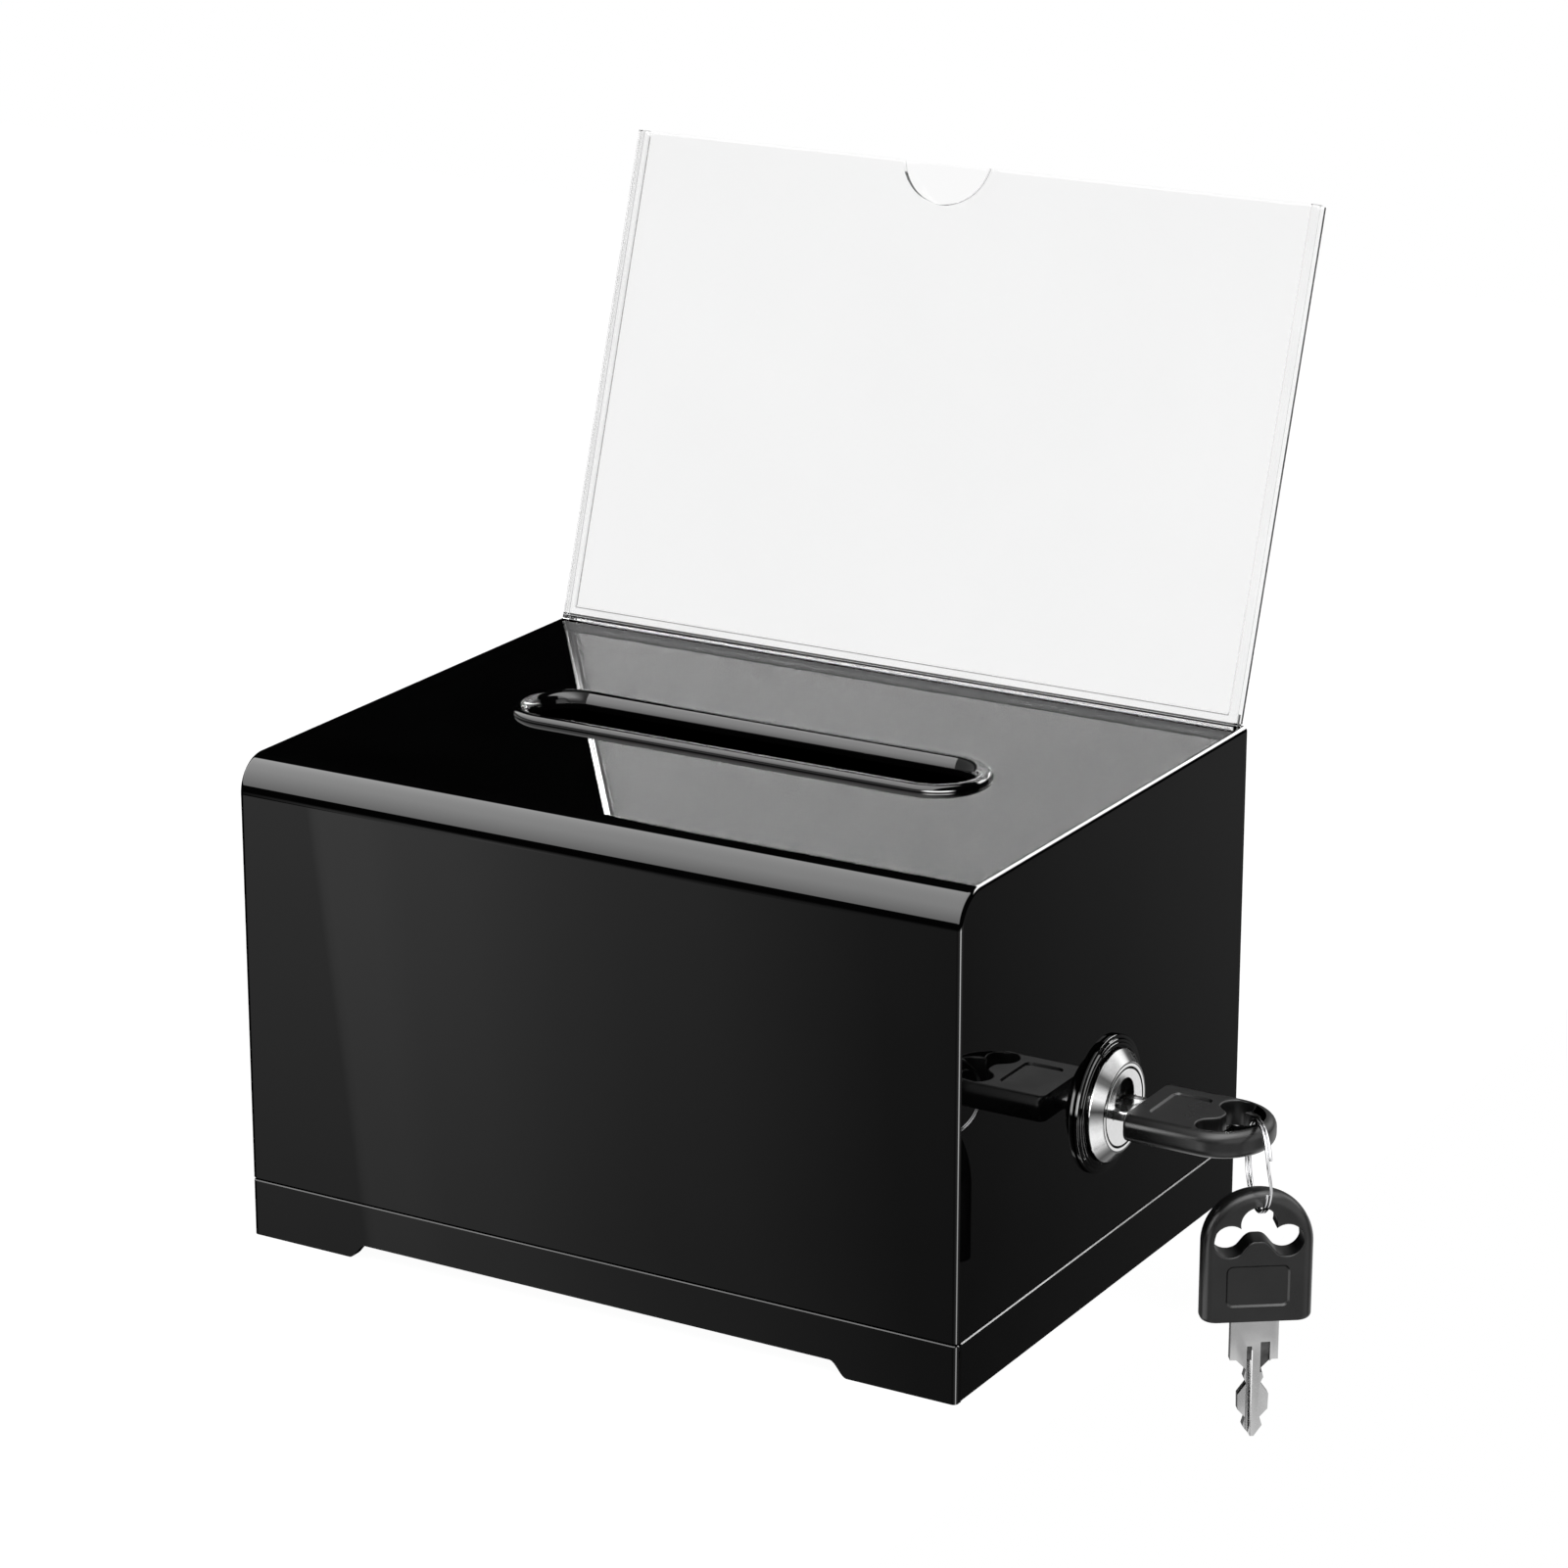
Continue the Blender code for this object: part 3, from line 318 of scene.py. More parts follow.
def new_piece(name, vertices, faces, look):
    mesh = bpy.data.meshes.new(name)
    mesh.from_pydata([tuple(v) for v in vertices], [], faces)
    made = bpy.data.objects.new(name, mesh)
    bpy.context.scene.collection.objects.link(made)
    mesh.materials.append(look)
    work = bmesh.new()
    work.from_mesh(mesh)
    bmesh.ops.remove_doubles(work, verts=work.verts, dist=1e-7)
    bmesh.ops.recalc_face_normals(work, faces=work.faces)
    work.to_mesh(mesh)
    work.free()
    return made


def shade(made, sharp_deg=20.0, flat_area=40e-6):
    """Smooth shading with sharp corners, and large flat faces kept flat."""
    made.data.shade_smooth()
    made.data.set_sharp_from_angle(angle=radians(sharp_deg))
    for face in made.data.polygons:
        if face.area > flat_area:
            face.use_smooth = False


def loft(name, loops, look, closed=False):
    count = len(loops[0])
    vertices = [point for loop in loops for point in loop]
    faces = []
    steps = len(loops) if closed else len(loops) - 1
    for step in range(steps):
        here = step * count
        there = ((step + 1) % len(loops)) * count
        for side in range(count):
            after = (side + 1) % count
            faces.append((here + side, here + after, there + after, there + side))
    if not closed:
        faces.append(tuple(range(count)))
        last = (len(loops) - 1) * count
        faces.append(tuple(last + side for side in range(count)))
    return new_piece(name, vertices, faces, look)


def prism(name, outline, base, along, across, out, depth, look):
    lower = [base + along * (a * MM) + across * (b * MM) for a, b in outline]
    upper = [point + out * (depth * MM) for point in lower]
    return loft(name, [lower, upper], look)


def soften(made, width, segments=2, limit_deg=35.0):
    """Round off every edge that is sharper than the limit."""
    work = bmesh.new()
    work.from_mesh(made.data)
    limit = radians(limit_deg)
    edges = [e for e in work.edges if len(e.link_faces) == 2 and e.calc_face_angle() > limit]
    bmesh.ops.bevel(
        work, geom=edges, offset=width * MM, segments=segments, profile=0.5,
        affect="EDGES", clamp_overlap=True,
    )
    bmesh.ops.recalc_face_normals(work, faces=work.faces)
    work.to_mesh(made.data)
    work.free()
    return made


def block(name, low, high, look):
    (x0, y0, z0), (x1, y1, z1) = low, high
    made = prism(name, ((0, 0), (x1 - x0, 0), (x1 - x0, y1 - y0), (0, y1 - y0)),
                 P(x0, y0, z0), X, Y, Z, z1 - z0, look)
    soften(made, 0.25)
    shade(made, 50.0)
    return made


def carve(made, *cutters):
    """Take the cutters away, and drop them."""
    for cutter in cutters:
        step = made.modifiers.new("cut", "BOOLEAN")
        step.operation = "DIFFERENCE"
        step.solver = "EXACT"
        step.object = cutter
    bpy.context.view_layer.update()
    graph = bpy.context.evaluated_depsgraph_get()
    result = bpy.data.meshes.new_from_object(made.evaluated_get(graph))
    old = made.data
    made.modifiers.clear()
    made.data = result
    bpy.data.meshes.remove(old)
    for cutter in cutters:
        spare = cutter.data
        bpy.data.objects.remove(cutter, do_unlink=True)
        bpy.data.meshes.remove(spare)
    while len(made.data.materials) > 1:
        made.data.materials.pop()
    return made


def around(count):
    """The angles of a full turn."""
    return (2 * pi * k / count for k in range(count))


def circle(radius, count):
    return [(radius * cos(a), radius * sin(a)) for a in around(count)]


def stadium(length, width):
    """A slot's outline: two straight sides and two round ends."""
    radius = width / 2
    reach = length / 2 - radius
    steps = 48
    points = []
    for side in (1, -1):
        for k in range(steps + 1):
            a = -pi / 2 + pi * k / steps
            points.append((side * (reach + radius * cos(a)), side * radius * sin(a)))
    return points


def revolved(name, profile, centre, look):
    """A ring-like body about the lock's axis: a closed loop of (along x, radius)."""
    loops = [[centre + Vector((along, radius * cos(a), radius * sin(a))) * MM
              for a in around(128)] for along, radius in profile]
    return loft(name, loops, look, closed=True)


def arc(centre, radius, start_deg, end_deg, count):
    """Points on a circle in a plane, as (a, b) pairs."""
    points = []
    for k in range(count + 1):
        a = radians(start_deg + (end_deg - start_deg) * k / count)
        points.append((centre[0] + radius * cos(a), centre[1] + radius * sin(a)))
    return points


def lean_point(x, rise, back):
    """A point given in the sign holder's own leaning plane."""
    return P(x, FOOT_Y, FOOT_Z) + (RISE * rise + BACK * back) * MM


def seat(made, body, slot, *stands_for):
    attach(made, body)
    if stands_for:
        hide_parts(*stands_for)
    return made


# Casing and base

black = black_acrylic("black_acrylic_sheet")


def bent_profile(inset):
    """The front and top sheet from the side, its outer face drawn in by the inset."""
    end_y, end_z = DEEP - EASED, LOW + EASED
    outer = [(inset, end_z)]
    outer += arc((BEND, HIGH - BEND), BEND - inset, 180, 90, 48)
    outer.append((end_y, HIGH - inset))
    inner = [(end_y, HIGH - SHEET)]
    inner += arc((BEND, HIGH - BEND), BEND - SHEET, 90, 180, 48)
    inner.append((SHEET, end_z))
    return outer + inner


def rounded_end(radius):
    """Stations over a sheet's rounded end: (from the end, inset)."""
    steps = 10
    angles = (pi / 2 * k / steps for k in range(steps + 1))
    return [(radius * (1 - sin(a)), radius * (1 - cos(a))) for a in angles]


def tab_cutter():
    """What the sign holder's tab needs, with play all round."""
    half, reach = TAB_HALF + PLAY, TAB_DEEP + 1.0
    return prism("tab_cut", ((-half, -reach), (half, -reach), (half, reach), (-half, reach)),
                 lean_point(0, 0, STRIP_AT - PLAY), X, RISE, BACK, STRIP_THICK + 2 * PLAY, black)


def make_casing():
    loops = []
    for side in (-1, 1):
        ends = rounded_end(EDGE_ROUND)
        for away, inset in (ends if side > 0 else reversed(ends)):
            loops.append([P(side * (HALF - away), y, z) for y, z in bent_profile(inset)])
    body = loft("front_top_sheet", loops, black)
    slot = prism("slot_cut", stadium(SLOT_LONG + 2 * RIM_SEAT, SLOT_WIDE + 2 * RIM_SEAT),
                 P(SLOT_X, SLOT_Y, HIGH - SHEET - 1.0), X, Y, Z, SHEET + 2.0, black)
    carve(body, slot, tab_cutter())
    shade(body, 15.0)
    seat(body, "casing", "black_acrylic", "front_top_panel")

    within = 0.12
    for side, word in ((-1, "left"), (1, "right")):
        loops = []
        for from_face, inset in ((SHEET, within), (SHEET - within, 0.0), (EASED, 0.0),
                                 (0.0, EASED)):
            x = side * (HALF - from_face)
            outline = [(SHEET, LOW + inset)]
            outline += arc((BEND, HIGH - BEND), BEND - SHEET, 180, 90, 48)
            outline += [(DEEP - inset, HIGH - SHEET), (DEEP - inset, LOW + inset)]
            loops.append([P(x, y, z) for y, z in outline])
        body = loft("side_sheet_" + word, loops, black)
        if side > 0:
            hole = prism("hole", circle(LOCK_HOLE, 96), P(HALF - SHEET - 1.0, LOCK_Y, LOCK_Z),
                         Y, Z, X, SHEET + 2.0, black)
            carve(body, hole)
        shade(body, 25.0)
        seat(body, "casing", "black_acrylic", "side_panel_" + word)

    half = HALF - SHEET - PLAY
    body = block("back_sheet", (-half, DEEP - SHEET, LOW), (half, DEEP, HIGH - SHEET - PLAY),
                 black)
    carve(body, tab_cutter())
    shade(body, 50.0)
    seat(body, "casing", "black_acrylic", "back_panel")


def ease(made, wanted, width):
    """A narrow flat on the sharp edges that the test picks by their two ends."""
    work = bmesh.new()
    work.from_mesh(made.data)
    edges = [e for e in work.edges if len(e.link_faces) == 2
             and e.calc_face_angle() > radians(50) and wanted(*(v.co for v in e.verts))]
    bmesh.ops.bevel(work, geom=edges, offset=width * MM, segments=1, profile=0.5, affect="EDGES")
    work.to_mesh(made.data)
    work.free()


def round_corners(made, near):
    """Round the board's two upright outer corners like the end of the front sheet."""
    work = bmesh.new()
    work.from_mesh(made.data)
    face_y = P(0, near if near < 1 else near + SHEET, 0).y
    edges = []
    for edge in work.edges:
        a, b = (v.co for v in edge.verts)
        upright = abs(a.x - b.x) < 1e-6 and abs(a.y - b.y) < 1e-6 and abs(a.z - b.z) > 0.005
        if upright and abs(a.y - face_y) < 1e-6:
            edges.append(edge)
    bmesh.ops.bevel(work, geom=edges, offset=EDGE_ROUND * MM, segments=10, profile=0.5,
                    affect="EDGES")
    work.to_mesh(made.data)
    work.free()


def make_base():
    """The plinth's boards; the side boards' outer top edge is pale."""
    # painted highlight: a pale colour on the outer top edge's flat stands in for the bright line
    # it shows
    pale = cement("seam_edge_painted_highlight", 0.62, 1.0)
    for side, word in ((-1, "left"), (1, "right")):
        x0, x1 = sorted((side * HALF, side * (HALF - SHEET)))
        body = prism("plinth_board_" + word, ((x0, 0.0), (x1, 0.0), (x1, SEAM), (x0, SEAM)),
                     P(0, SHEET, 0), X, Z, Y, DEEP - 2 * SHEET, black)
        ease(body, lambda a, b: abs(a.y - b.y) > 0.01, 0.2)
        shade(body, 30.0)
        body.data.materials.append(pale)
        for face in body.data.polygons:
            if face.normal.x * side > 0.4 and face.normal.z > 0.4:
                face.material_index = 1
        seat(body, "base", "black_acrylic", "plinth_" + word)
    foot = HALF - FOOT_LONG
    steps = 32
    ramp = [(FOOT_RAMP * k / steps, NOTCH_HIGH * (1 - cos(pi * k / steps)) / 2)
            for k in range(steps + 1)]
    outline = [(-HALF, 0)]
    outline += [(-foot + out, up) for out, up in ramp]
    outline += [(foot - out, up) for out, up in reversed(ramp)]
    outline += [(HALF, 0), (HALF, SEAM), (-HALF, SEAM)]
    for word, near in (("front", 0.0), ("back", DEEP - SHEET)):
        body = prism("plinth_board_" + word, outline, P(0, near, 0), X, Z, Y, SHEET, black)
        round_corners(body, near)
        ease(body, lambda a, b: abs(a.z - b.z) < 1e-6 and a.z > 0.01, EASED)
        shade(body, 30.0)
        seat(body, "base", "black_acrylic", "plinth_" + word)


def make_rim():
    """The collar round the posting slot, swept round the opening."""
    liner, width, lift = 0.6, 2.2, 0.15
    crest = HIGH + 1.35
    outer, inner = 1.1, 2.6
    under = HIGH - SHEET
    profile = [(liner, under), (liner, HIGH + lift), (width, HIGH + lift)]
    profile += arc((outer, crest - outer), outer, 0, 90, 12)
    profile += arc((outer, crest - inner), inner, 90, 180, 24)[1:]
    profile += [(outer - inner, under + 0.1), (outer - inner + 0.1, under)]
    loops = [[P(SLOT_X + x, SLOT_Y + y, z)
              for x, y in stadium(SLOT_LONG + 2 * out, SLOT_WIDE + 2 * out)]
             for out, z in profile]
    body = loft("slot_collar", loops, black_acrylic("black_acrylic_rim"), closed=True)
    shade(body, 30.0, 1.0)
    body.data.materials.append(black_acrylic("black_acrylic_slot_end", gloss=(0.03, 0.06)))
    middle = P(SLOT_X, SLOT_Y, 0)
    straight = (SLOT_LONG - SLOT_WIDE) / 2
    for face in body.data.polygons:
        from_middle = face.center - middle
        inward = from_middle.x * face.normal.x + from_middle.y * face.normal.y < 0
        if inward and straight * MM < abs(from_middle.x) < (straight + 5.3) * MM:
            face.material_index = 1
    seat(body, "casing", "black_acrylic", "slot_rim")


# Lock


def make_lock():
    centre = P(HALF, LOCK_Y, LOCK_Z)
    profile = [(0.3, LOCK_HOLE), (0.3, 13.3)]
    for along, radius in ((0.75, 13.15), (1.1, 12.35), (1.25, 11.75)):
        profile += [(along + 0.15 * sin(a), radius + 0.15 * cos(a))
                    for a in (pi / 2 * k / 5 for k in range(6))]
        profile.append((along + 0.15, radius - 0.55))
    profile += [(1.28, 11.1), (1.28, LOCK_HOLE)]
    washer = revolved("washer", profile, centre, black_acrylic("black_washer"))
    shade(washer, 30.0)
    seat(washer, "casing", "black_plastic", "lock_washer")

    face = 3.9
    bore, counterbore, floor = 6.65, 7.65, face - 3.55
    profile = [(BARREL_END, bore), (floor, bore), (floor, counterbore),
               (face - 0.12, counterbore), (face, counterbore + 0.12)]
    profile += [(face - 0.2 + 0.2 * cos(a), 8.55 + 0.2 * sin(a))
                for a in (pi / 3 * k / 4 for k in range(5))]
    profile += [(2.25, 10.62), (2.08, 10.78), (1.9, 10.8), (1.7, 10.6), (1.7, BARREL_R),
                (BARREL_END, BARREL_R)]
    # painted light on the barrel: dark painted shade in its mouth and groove, painted highlights
    # and painted shade round the cone
    bezel = lock_painted_light_look("bright_plating_barrel_painted_light", centre, (
        (0.006, 0.02), (0.00778, 0.02), (0.00782, 0.80), (0.00828, 0.80), (0.00832, 0.02),
        (0.00852, 0.02), (0.00856, 1.0), (0.012, 1.0),
    ), (
        (-180, 0.10), (-60, 0.40), (-30, 0.50), (-14, 0.14), (-6, 0.50), (2, 0.62), (20, 0.62),
        (30, 0.50), (40, 0.09), (47, 0.11), (57, 0.64), (64, 0.70), (71, 0.28), (78, 0.06),
        (85, 0.40), (94, 0.92), (116, 0.95), (124, 0.62), (134, 0.22), (143, 0.04), (180, 0.04),
    ))
    barrel = revolved("barrel", profile, centre, bezel)
    shade(barrel, 30.0, 1.0)
    seat(barrel, "casing", "bright_plating", "lock_barrel")


# Keys and ring


def head_outline(inset):
    corner = 0.9
    reach = HEAD_R - inset - corner
    points = arc((-reach, corner), corner, -180, -90, 8)
    points += arc((reach, corner), corner, -90, 0, 8)
    points += arc((0, HEAD_LONG - HEAD_R), HEAD_R - inset, 0, 180, 64)
    return points


def bezier(t, stops):
    """Value and slope of a cubic with four control values."""
    a, b, c, d = stops
    s = 1 - t
    value = a * s ** 3 + 3 * b * t * s ** 2 + 3 * c * t * t * s + d * t ** 3
    slope = 3 * ((b - a) * s ** 2 + 2 * (c - b) * t * s + (d - c) * t * t)
    return value, slope


def hole_outline(grow):
    """The three-lobed hole, every lobe grown by the same amount."""
    r = SIDE_R + grow
    big = BOW_R + grow
    apart = sqrt(SIDE_U ** 2 + (BOW_V - SIDE_V) ** 2)
    toward = atan2(BOW_V - SIDE_V, -SIDE_U)
    along = (apart ** 2 + r ** 2 - big ** 2) / (2 * apart)
    cusp = toward - acos(min(1, max(-1, along / r)))
    cu = SIDE_U + r * cos(cusp)
    cv = SIDE_V + r * sin(cusp)
    start = atan2(cv - BOW_V, cu)
    side = []
    for k in range(17):
        u, du = bezier(k / 16, LINK_U)
        v, dv = bezier(k / 16, LINK_V)
        size = sqrt(du * du + dv * dv)
        side.append((u + grow * dv / size, v - grow * du / size))
    first = radians(-125)
    for k in range(1, 33):
        a = first + (cusp - first) * k / 32
        side.append((SIDE_U + r * cos(a), SIDE_V + r * sin(a)))
    points = list(side)
    for k in range(1, 32):
        a = start + (pi - 2 * start) * k / 32
        points.append((big * cos(a), BOW_V + big * sin(a)))
    points += [(-u, v) for u, v in reversed(side)]
    return points


def rounded_rectangle(width, length, radius, middle):
    """A rectangle about a point of the head's middle line."""
    points = []
    steps = 6
    for turn, (side, end) in enumerate(((1, 1), (-1, 1), (-1, -1), (1, -1))):
        for k in range(steps + 1):
            a = pi / 2 * (turn + k / steps)
            points.append((side * (width / 2 - radius) + radius * cos(a),
                           middle + end * (length / 2 - radius) + radius * sin(a)))
    return points


def make_head(name, base, along, flat, look):
    """A moulded key head: rounded edges, a soft-edged hole and a recess on each face."""
    across = along.cross(flat)
    half = HEAD_HALF
    recess_at, recess_deep = 7.05, 0.35

    def at(u, v, w):
        return base + (across * u + along * v + flat * w) * MM

    work = bmesh.new()

    def ring(points, w):
        return [work.verts.new(at(u, v, w)) for u, v in points]

    def skin(first, second):
        count = len(first)
        for k in range(count):
            work.faces.new((first[k], first[(k + 1) % count],
                            second[(k + 1) % count], second[k]))

    def wall(outline, radius, count):
        """A rounded wall from one face to the other, as rings of points."""
        rings = []
        for sign in (-1, 1):
            for k in (range(count + 1) if sign < 0 else range(count, -1, -1)):
                a = pi / 2 * k / count
                rings.append(ring(outline(radius * (1 - sin(a))),
                                  sign * (half - radius + radius * cos(a))))
        for first, second in zip(rings, rings[1:]):
            skin(first, second)
        return rings

    outer_rings = wall(head_outline, 2.0, 8)
    hole_rings = wall(hole_outline, 0.35, 4)
    for sign, outer_ring, hole_ring in (
        (-1, outer_rings[0], hole_rings[0]),
        (1, outer_rings[-1], hole_rings[-1]),
    ):
        top = ring(rounded_rectangle(11.9, 8.2, 1.3, recess_at), sign * half)
        floor = ring(rounded_rectangle(11.2, 7.5, 1.0, recess_at), sign * (half - recess_deep))
        skin(top, floor)
        work.faces.new(floor)
        edges = []
        for loop in (outer_ring, hole_ring, top):
            for k in range(len(loop)):
                edge = work.edges.get((loop[k], loop[(k + 1) % len(loop)]))
                edges.append(edge or work.edges.new((loop[k], loop[(k + 1) % len(loop)])))
        bmesh.ops.triangle_fill(work, use_beauty=True, use_dissolve=False, edges=edges)
    bmesh.ops.remove_doubles(work, verts=work.verts, dist=1e-7)
    bmesh.ops.recalc_face_normals(work, faces=work.faces)
    mesh = bpy.data.meshes.new(name)
    work.to_mesh(mesh)
    work.free()
    made = bpy.data.objects.new(name, mesh)
    bpy.context.scene.collection.objects.link(made)
    mesh.materials.append(look)
    shade(made, 32.0, 1.0)
    for face in mesh.polygons:
        if abs(face.normal.dot(flat)) > 0.999:
            face.use_smooth = False
    return made


CUTS = (
    (0.000, 1.155), (0.122, 0.510), (0.232, 0.645), (0.308, 0.450), (0.450, 1.000),
    (0.645, 0.975), (0.750, 0.470), (0.860, 0.640), (0.965, 0.245), (1.000, 0.130),
)


def make_blade(name, base, along, flat, look, pocket_painted_shade):
    """A key's blade: shoulders, cut edges, a groove on each face, a slot and a pocket.

    CUTS gives the edge as shares of the cut length and of half the blade's width.
    """
    across = along.cross(flat)
    shoulder, cut_long, blade_half = 8.4, 15.5, 2.9
    outline = [(3.8, 6.2), (3.8, -0.1), (4.5, -0.1), (4.5, -shoulder)]
    outline += [(blade_half * wide, -shoulder - cut_long * share) for share, wide in CUTS]
    outline += [(-u, v) for u, v in reversed(outline)]
    body = prism(name, outline, base - flat * (BLADE_HALF * MM), across, along, flat,
                 2 * BLADE_HALF, look)
    middle = -0.85
    cutters = []
    for sign in (-1, 1):
        vee = ((middle - 0.6, sign * 0.95), (middle + 0.65, sign * 0.95),
               (middle + 0.12, sign * 0.44))
        cutters.append(prism("groove", vee, base - along * (25 * MM), across, flat, along, 18.5,
                             look))
        start = 0.35 if sign > 0 else -1.85
        cutters.append(prism(
            "notch", ((middle - 0.5, -8.6), (middle + 0.4, -8.6), (middle + 0.4, -5.7),
                      (middle - 0.5, -5.7)),
            base + flat * (start * MM), across, along, flat, 1.5, look))
    low, high = 1.2, 2.95
    cutters.append(prism(
        "pocket", ((low, -11.0), (high, -11.0), (high, -4.9), (low, -4.9)),
        base + flat * (0.35 * MM), across, along, flat, 1.6, look))
    carve(body, *cutters)
    soften(body, 0.13, 2, 50.0)
    shade(body, 25.0, 1.0)
    # painted shade: the pocket's and the slot's faces get a dark metal
    body.data.materials.append(pocket_painted_shade)
    for face in body.data.polygons:
        at = (face.center - base) / MM
        u, v, w = at.dot(across), at.dot(along), at.dot(flat)
        pocket = low - 0.02 < u < high + 0.02 and -11.0 < v < -4.85 and 0.3 < w < 0.76
        notch = abs(u - middle + 0.05) < 0.5 and -8.7 < v < -5.6 and 0.3 < abs(w) < 0.76
        if pocket or notch:
            face.material_index = 1
    return body


def make_ring(look):
    """A split ring of two turns, with the jog where the wire crosses from one to the other."""
    level = Vector((cos(RING_TURN), sin(RING_TURN), 0))
    side = Vector((sin(RING_TURN), -cos(RING_TURN), 0))
    jog = radians(40.0)
    spare = 0.4 / RING_R
    turn = 4 * pi - jog - 2 * spare
    steps = 240
    loops = []
    for step in range(steps + 1):
        share = step / steps
        a = jog / 2 + spare + turn * share + radians(5.0)
        over = max(-1, min(1, (share - 0.5) * turn / (jog / 2)))
        shift = over * (3 - over ** 2) / 2
        middle = RING_MIDDLE + side * (RING_PITCH / 2 * shift * MM)
        out = level * cos(a) + Z * sin(a)
        size = RING_WIRE * (0.8 if step in (0, steps) else 1)
        loops.append([
            middle + out * ((RING_R + size * cos(b)) * MM) + side * (size * sin(b) * MM)
            for b in around(16)
        ])
    made = loft("split_ring", loops, look)
    shade(made, 40.0, 1.0)
    return made


def make_keys():
    head_look = moulded_plastic("black_key_head")
    steel = nickel("nickel_silver_key")
    # a dark metal for the painted shade in the blades' pockets and slots
    pocket_painted_shade = metal("nickel_silver_painted_shade", (0.05, 0.05, 0.05), (0.14, 0.14, 0.14), (0.3, 0.45))
    base = P(KEY_X, LOCK_Y, LOCK_Z)
    seat(make_head("key_grip", base, X, Z, head_look), "key", "black_plastic", "key_head")
    seat(make_blade("key_shank", base, X, Z, steel, pocket_painted_shade), "key", "nickel_silver", "key_blade")
    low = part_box("spare_key_head")[0]
    flat = Vector((sin(SPARE_TURN), -cos(SPARE_TURN), 0))
    base = Vector((RING_MIDDLE.x, RING_MIDDLE.y, low.z))
    seat(make_head("spare_key_grip", base, Z, flat, head_look), "spare_key", "black_plastic",
         "spare_key_head")
    seat(make_blade("spare_key_shank", base, Z, flat, steel, pocket_painted_shade), "spare_key", "nickel_silver",
         "spare_key_blade")
    seat(make_ring(metal("bright_wire", (0.60, 0.60, 0.61), (0.72, 0.72, 0.73), (0.06, 0.14))),
         "ring", "bright_plating", "key_ring")


# Sign holder


def make_sheet(name, start, thumb, clear, bonded, line):
    """One sheet of the sign holder, with its foot cut level and its edges eased."""
    outline = [(-SIGN_HALF, 0.0), (SIGN_HALF, 0.0), (SIGN_HALF, SIGN_TALL)]
    if thumb:
        drop = THUMB_R - THUMB_DEEP
        low = atan2(-drop, sqrt(THUMB_R ** 2 - drop ** 2))
        high = -pi - low
        for k in range(65):
            a = low + (high - low) * k / 64
            outline.append((THUMB_X + THUMB_R * cos(a), SIGN_TALL + drop + THUMB_R * sin(a)))
    outline.append((-SIGN_HALF, SIGN_TALL))
    faces = []
    for back in (start, start + SIGN_SHEET):
        faces.append([lean_point(x, r if r > 0 else back * tan(LEAN), back) for x, r in outline])
    made = loft(name, faces, clear)
    made.data.materials.append(bonded)
    made.data.materials.append(line)
    soften(made, 0.08, 1, 50.0)
    work = bmesh.new()
    work.from_mesh(made.data)
    origin = lean_point(0, 0, 0)
    within, painted_shade_from = SIGN_HALF - SIDE_STRIP, SIGN_HALF - 0.4
    for point, normal in (
        (origin + X * (within * MM), X), (origin - X * (within * MM), X),
        (origin + X * (painted_shade_from * MM), X), (origin + RISE * (BOTTOM_STRIP * MM), RISE)
    ):
        geom = list(work.verts) + list(work.edges) + list(work.faces)
        bmesh.ops.bisect_plane(work, geom=geom, dist=1e-7, plane_co=point, plane_no=normal)
    inner = 1.0 if start < 1 else -1.0
    for face in work.faces:
        middle = face.calc_center_median() - origin
        x = middle.dot(X) / MM
        r = middle.dot(RISE) / MM
        on_strip = abs(x) > within or r < BOTTOM_STRIP
        on_top = face.normal.dot(RISE) > 0.3 and r > SIGN_TALL - 0.6
        if face.normal.dot(BACK) * inner > 0.99 and on_strip:
            face.material_index = 1
        elif face.normal.x > 0.9 or on_top:
            face.material_index = 1
        # painted shade: a dark line on the back sheet's back face along its right edge
        elif start > 1 and face.normal.dot(BACK) > 0.99 and x > painted_shade_from:
            face.material_index = 2
    work.to_mesh(made.data)
    work.free()
    shade(made, 20.0)
    return made


def make_strip(name, outline, clear, bonded, outer=False):
    """A strip between the sheets, welded to both; the outer face is seen through on request."""
    made = prism(name, outline, lean_point(0, 0, STRIP_AT), X, RISE, BACK, STRIP_THICK, clear)
    made.data.materials.append(bonded)
    for face in made.data.polygons:
        if abs(face.normal.dot(BACK)) > 0.9 or (outer and face.normal.x > 0.9):
            face.material_index = 1
    return made


def make_bead(name, start, end, look):
    """A thin line of cement between two points of the sign holder's plane."""
    radius = 0.11
    aside = ((end - start).normalized()).cross(BACK)
    loops = [[point + (aside * cos(a) + BACK * sin(a)) * (radius * MM) for a in around(10)]
             for point in (start, end)]
    return loft(name, loops, look)


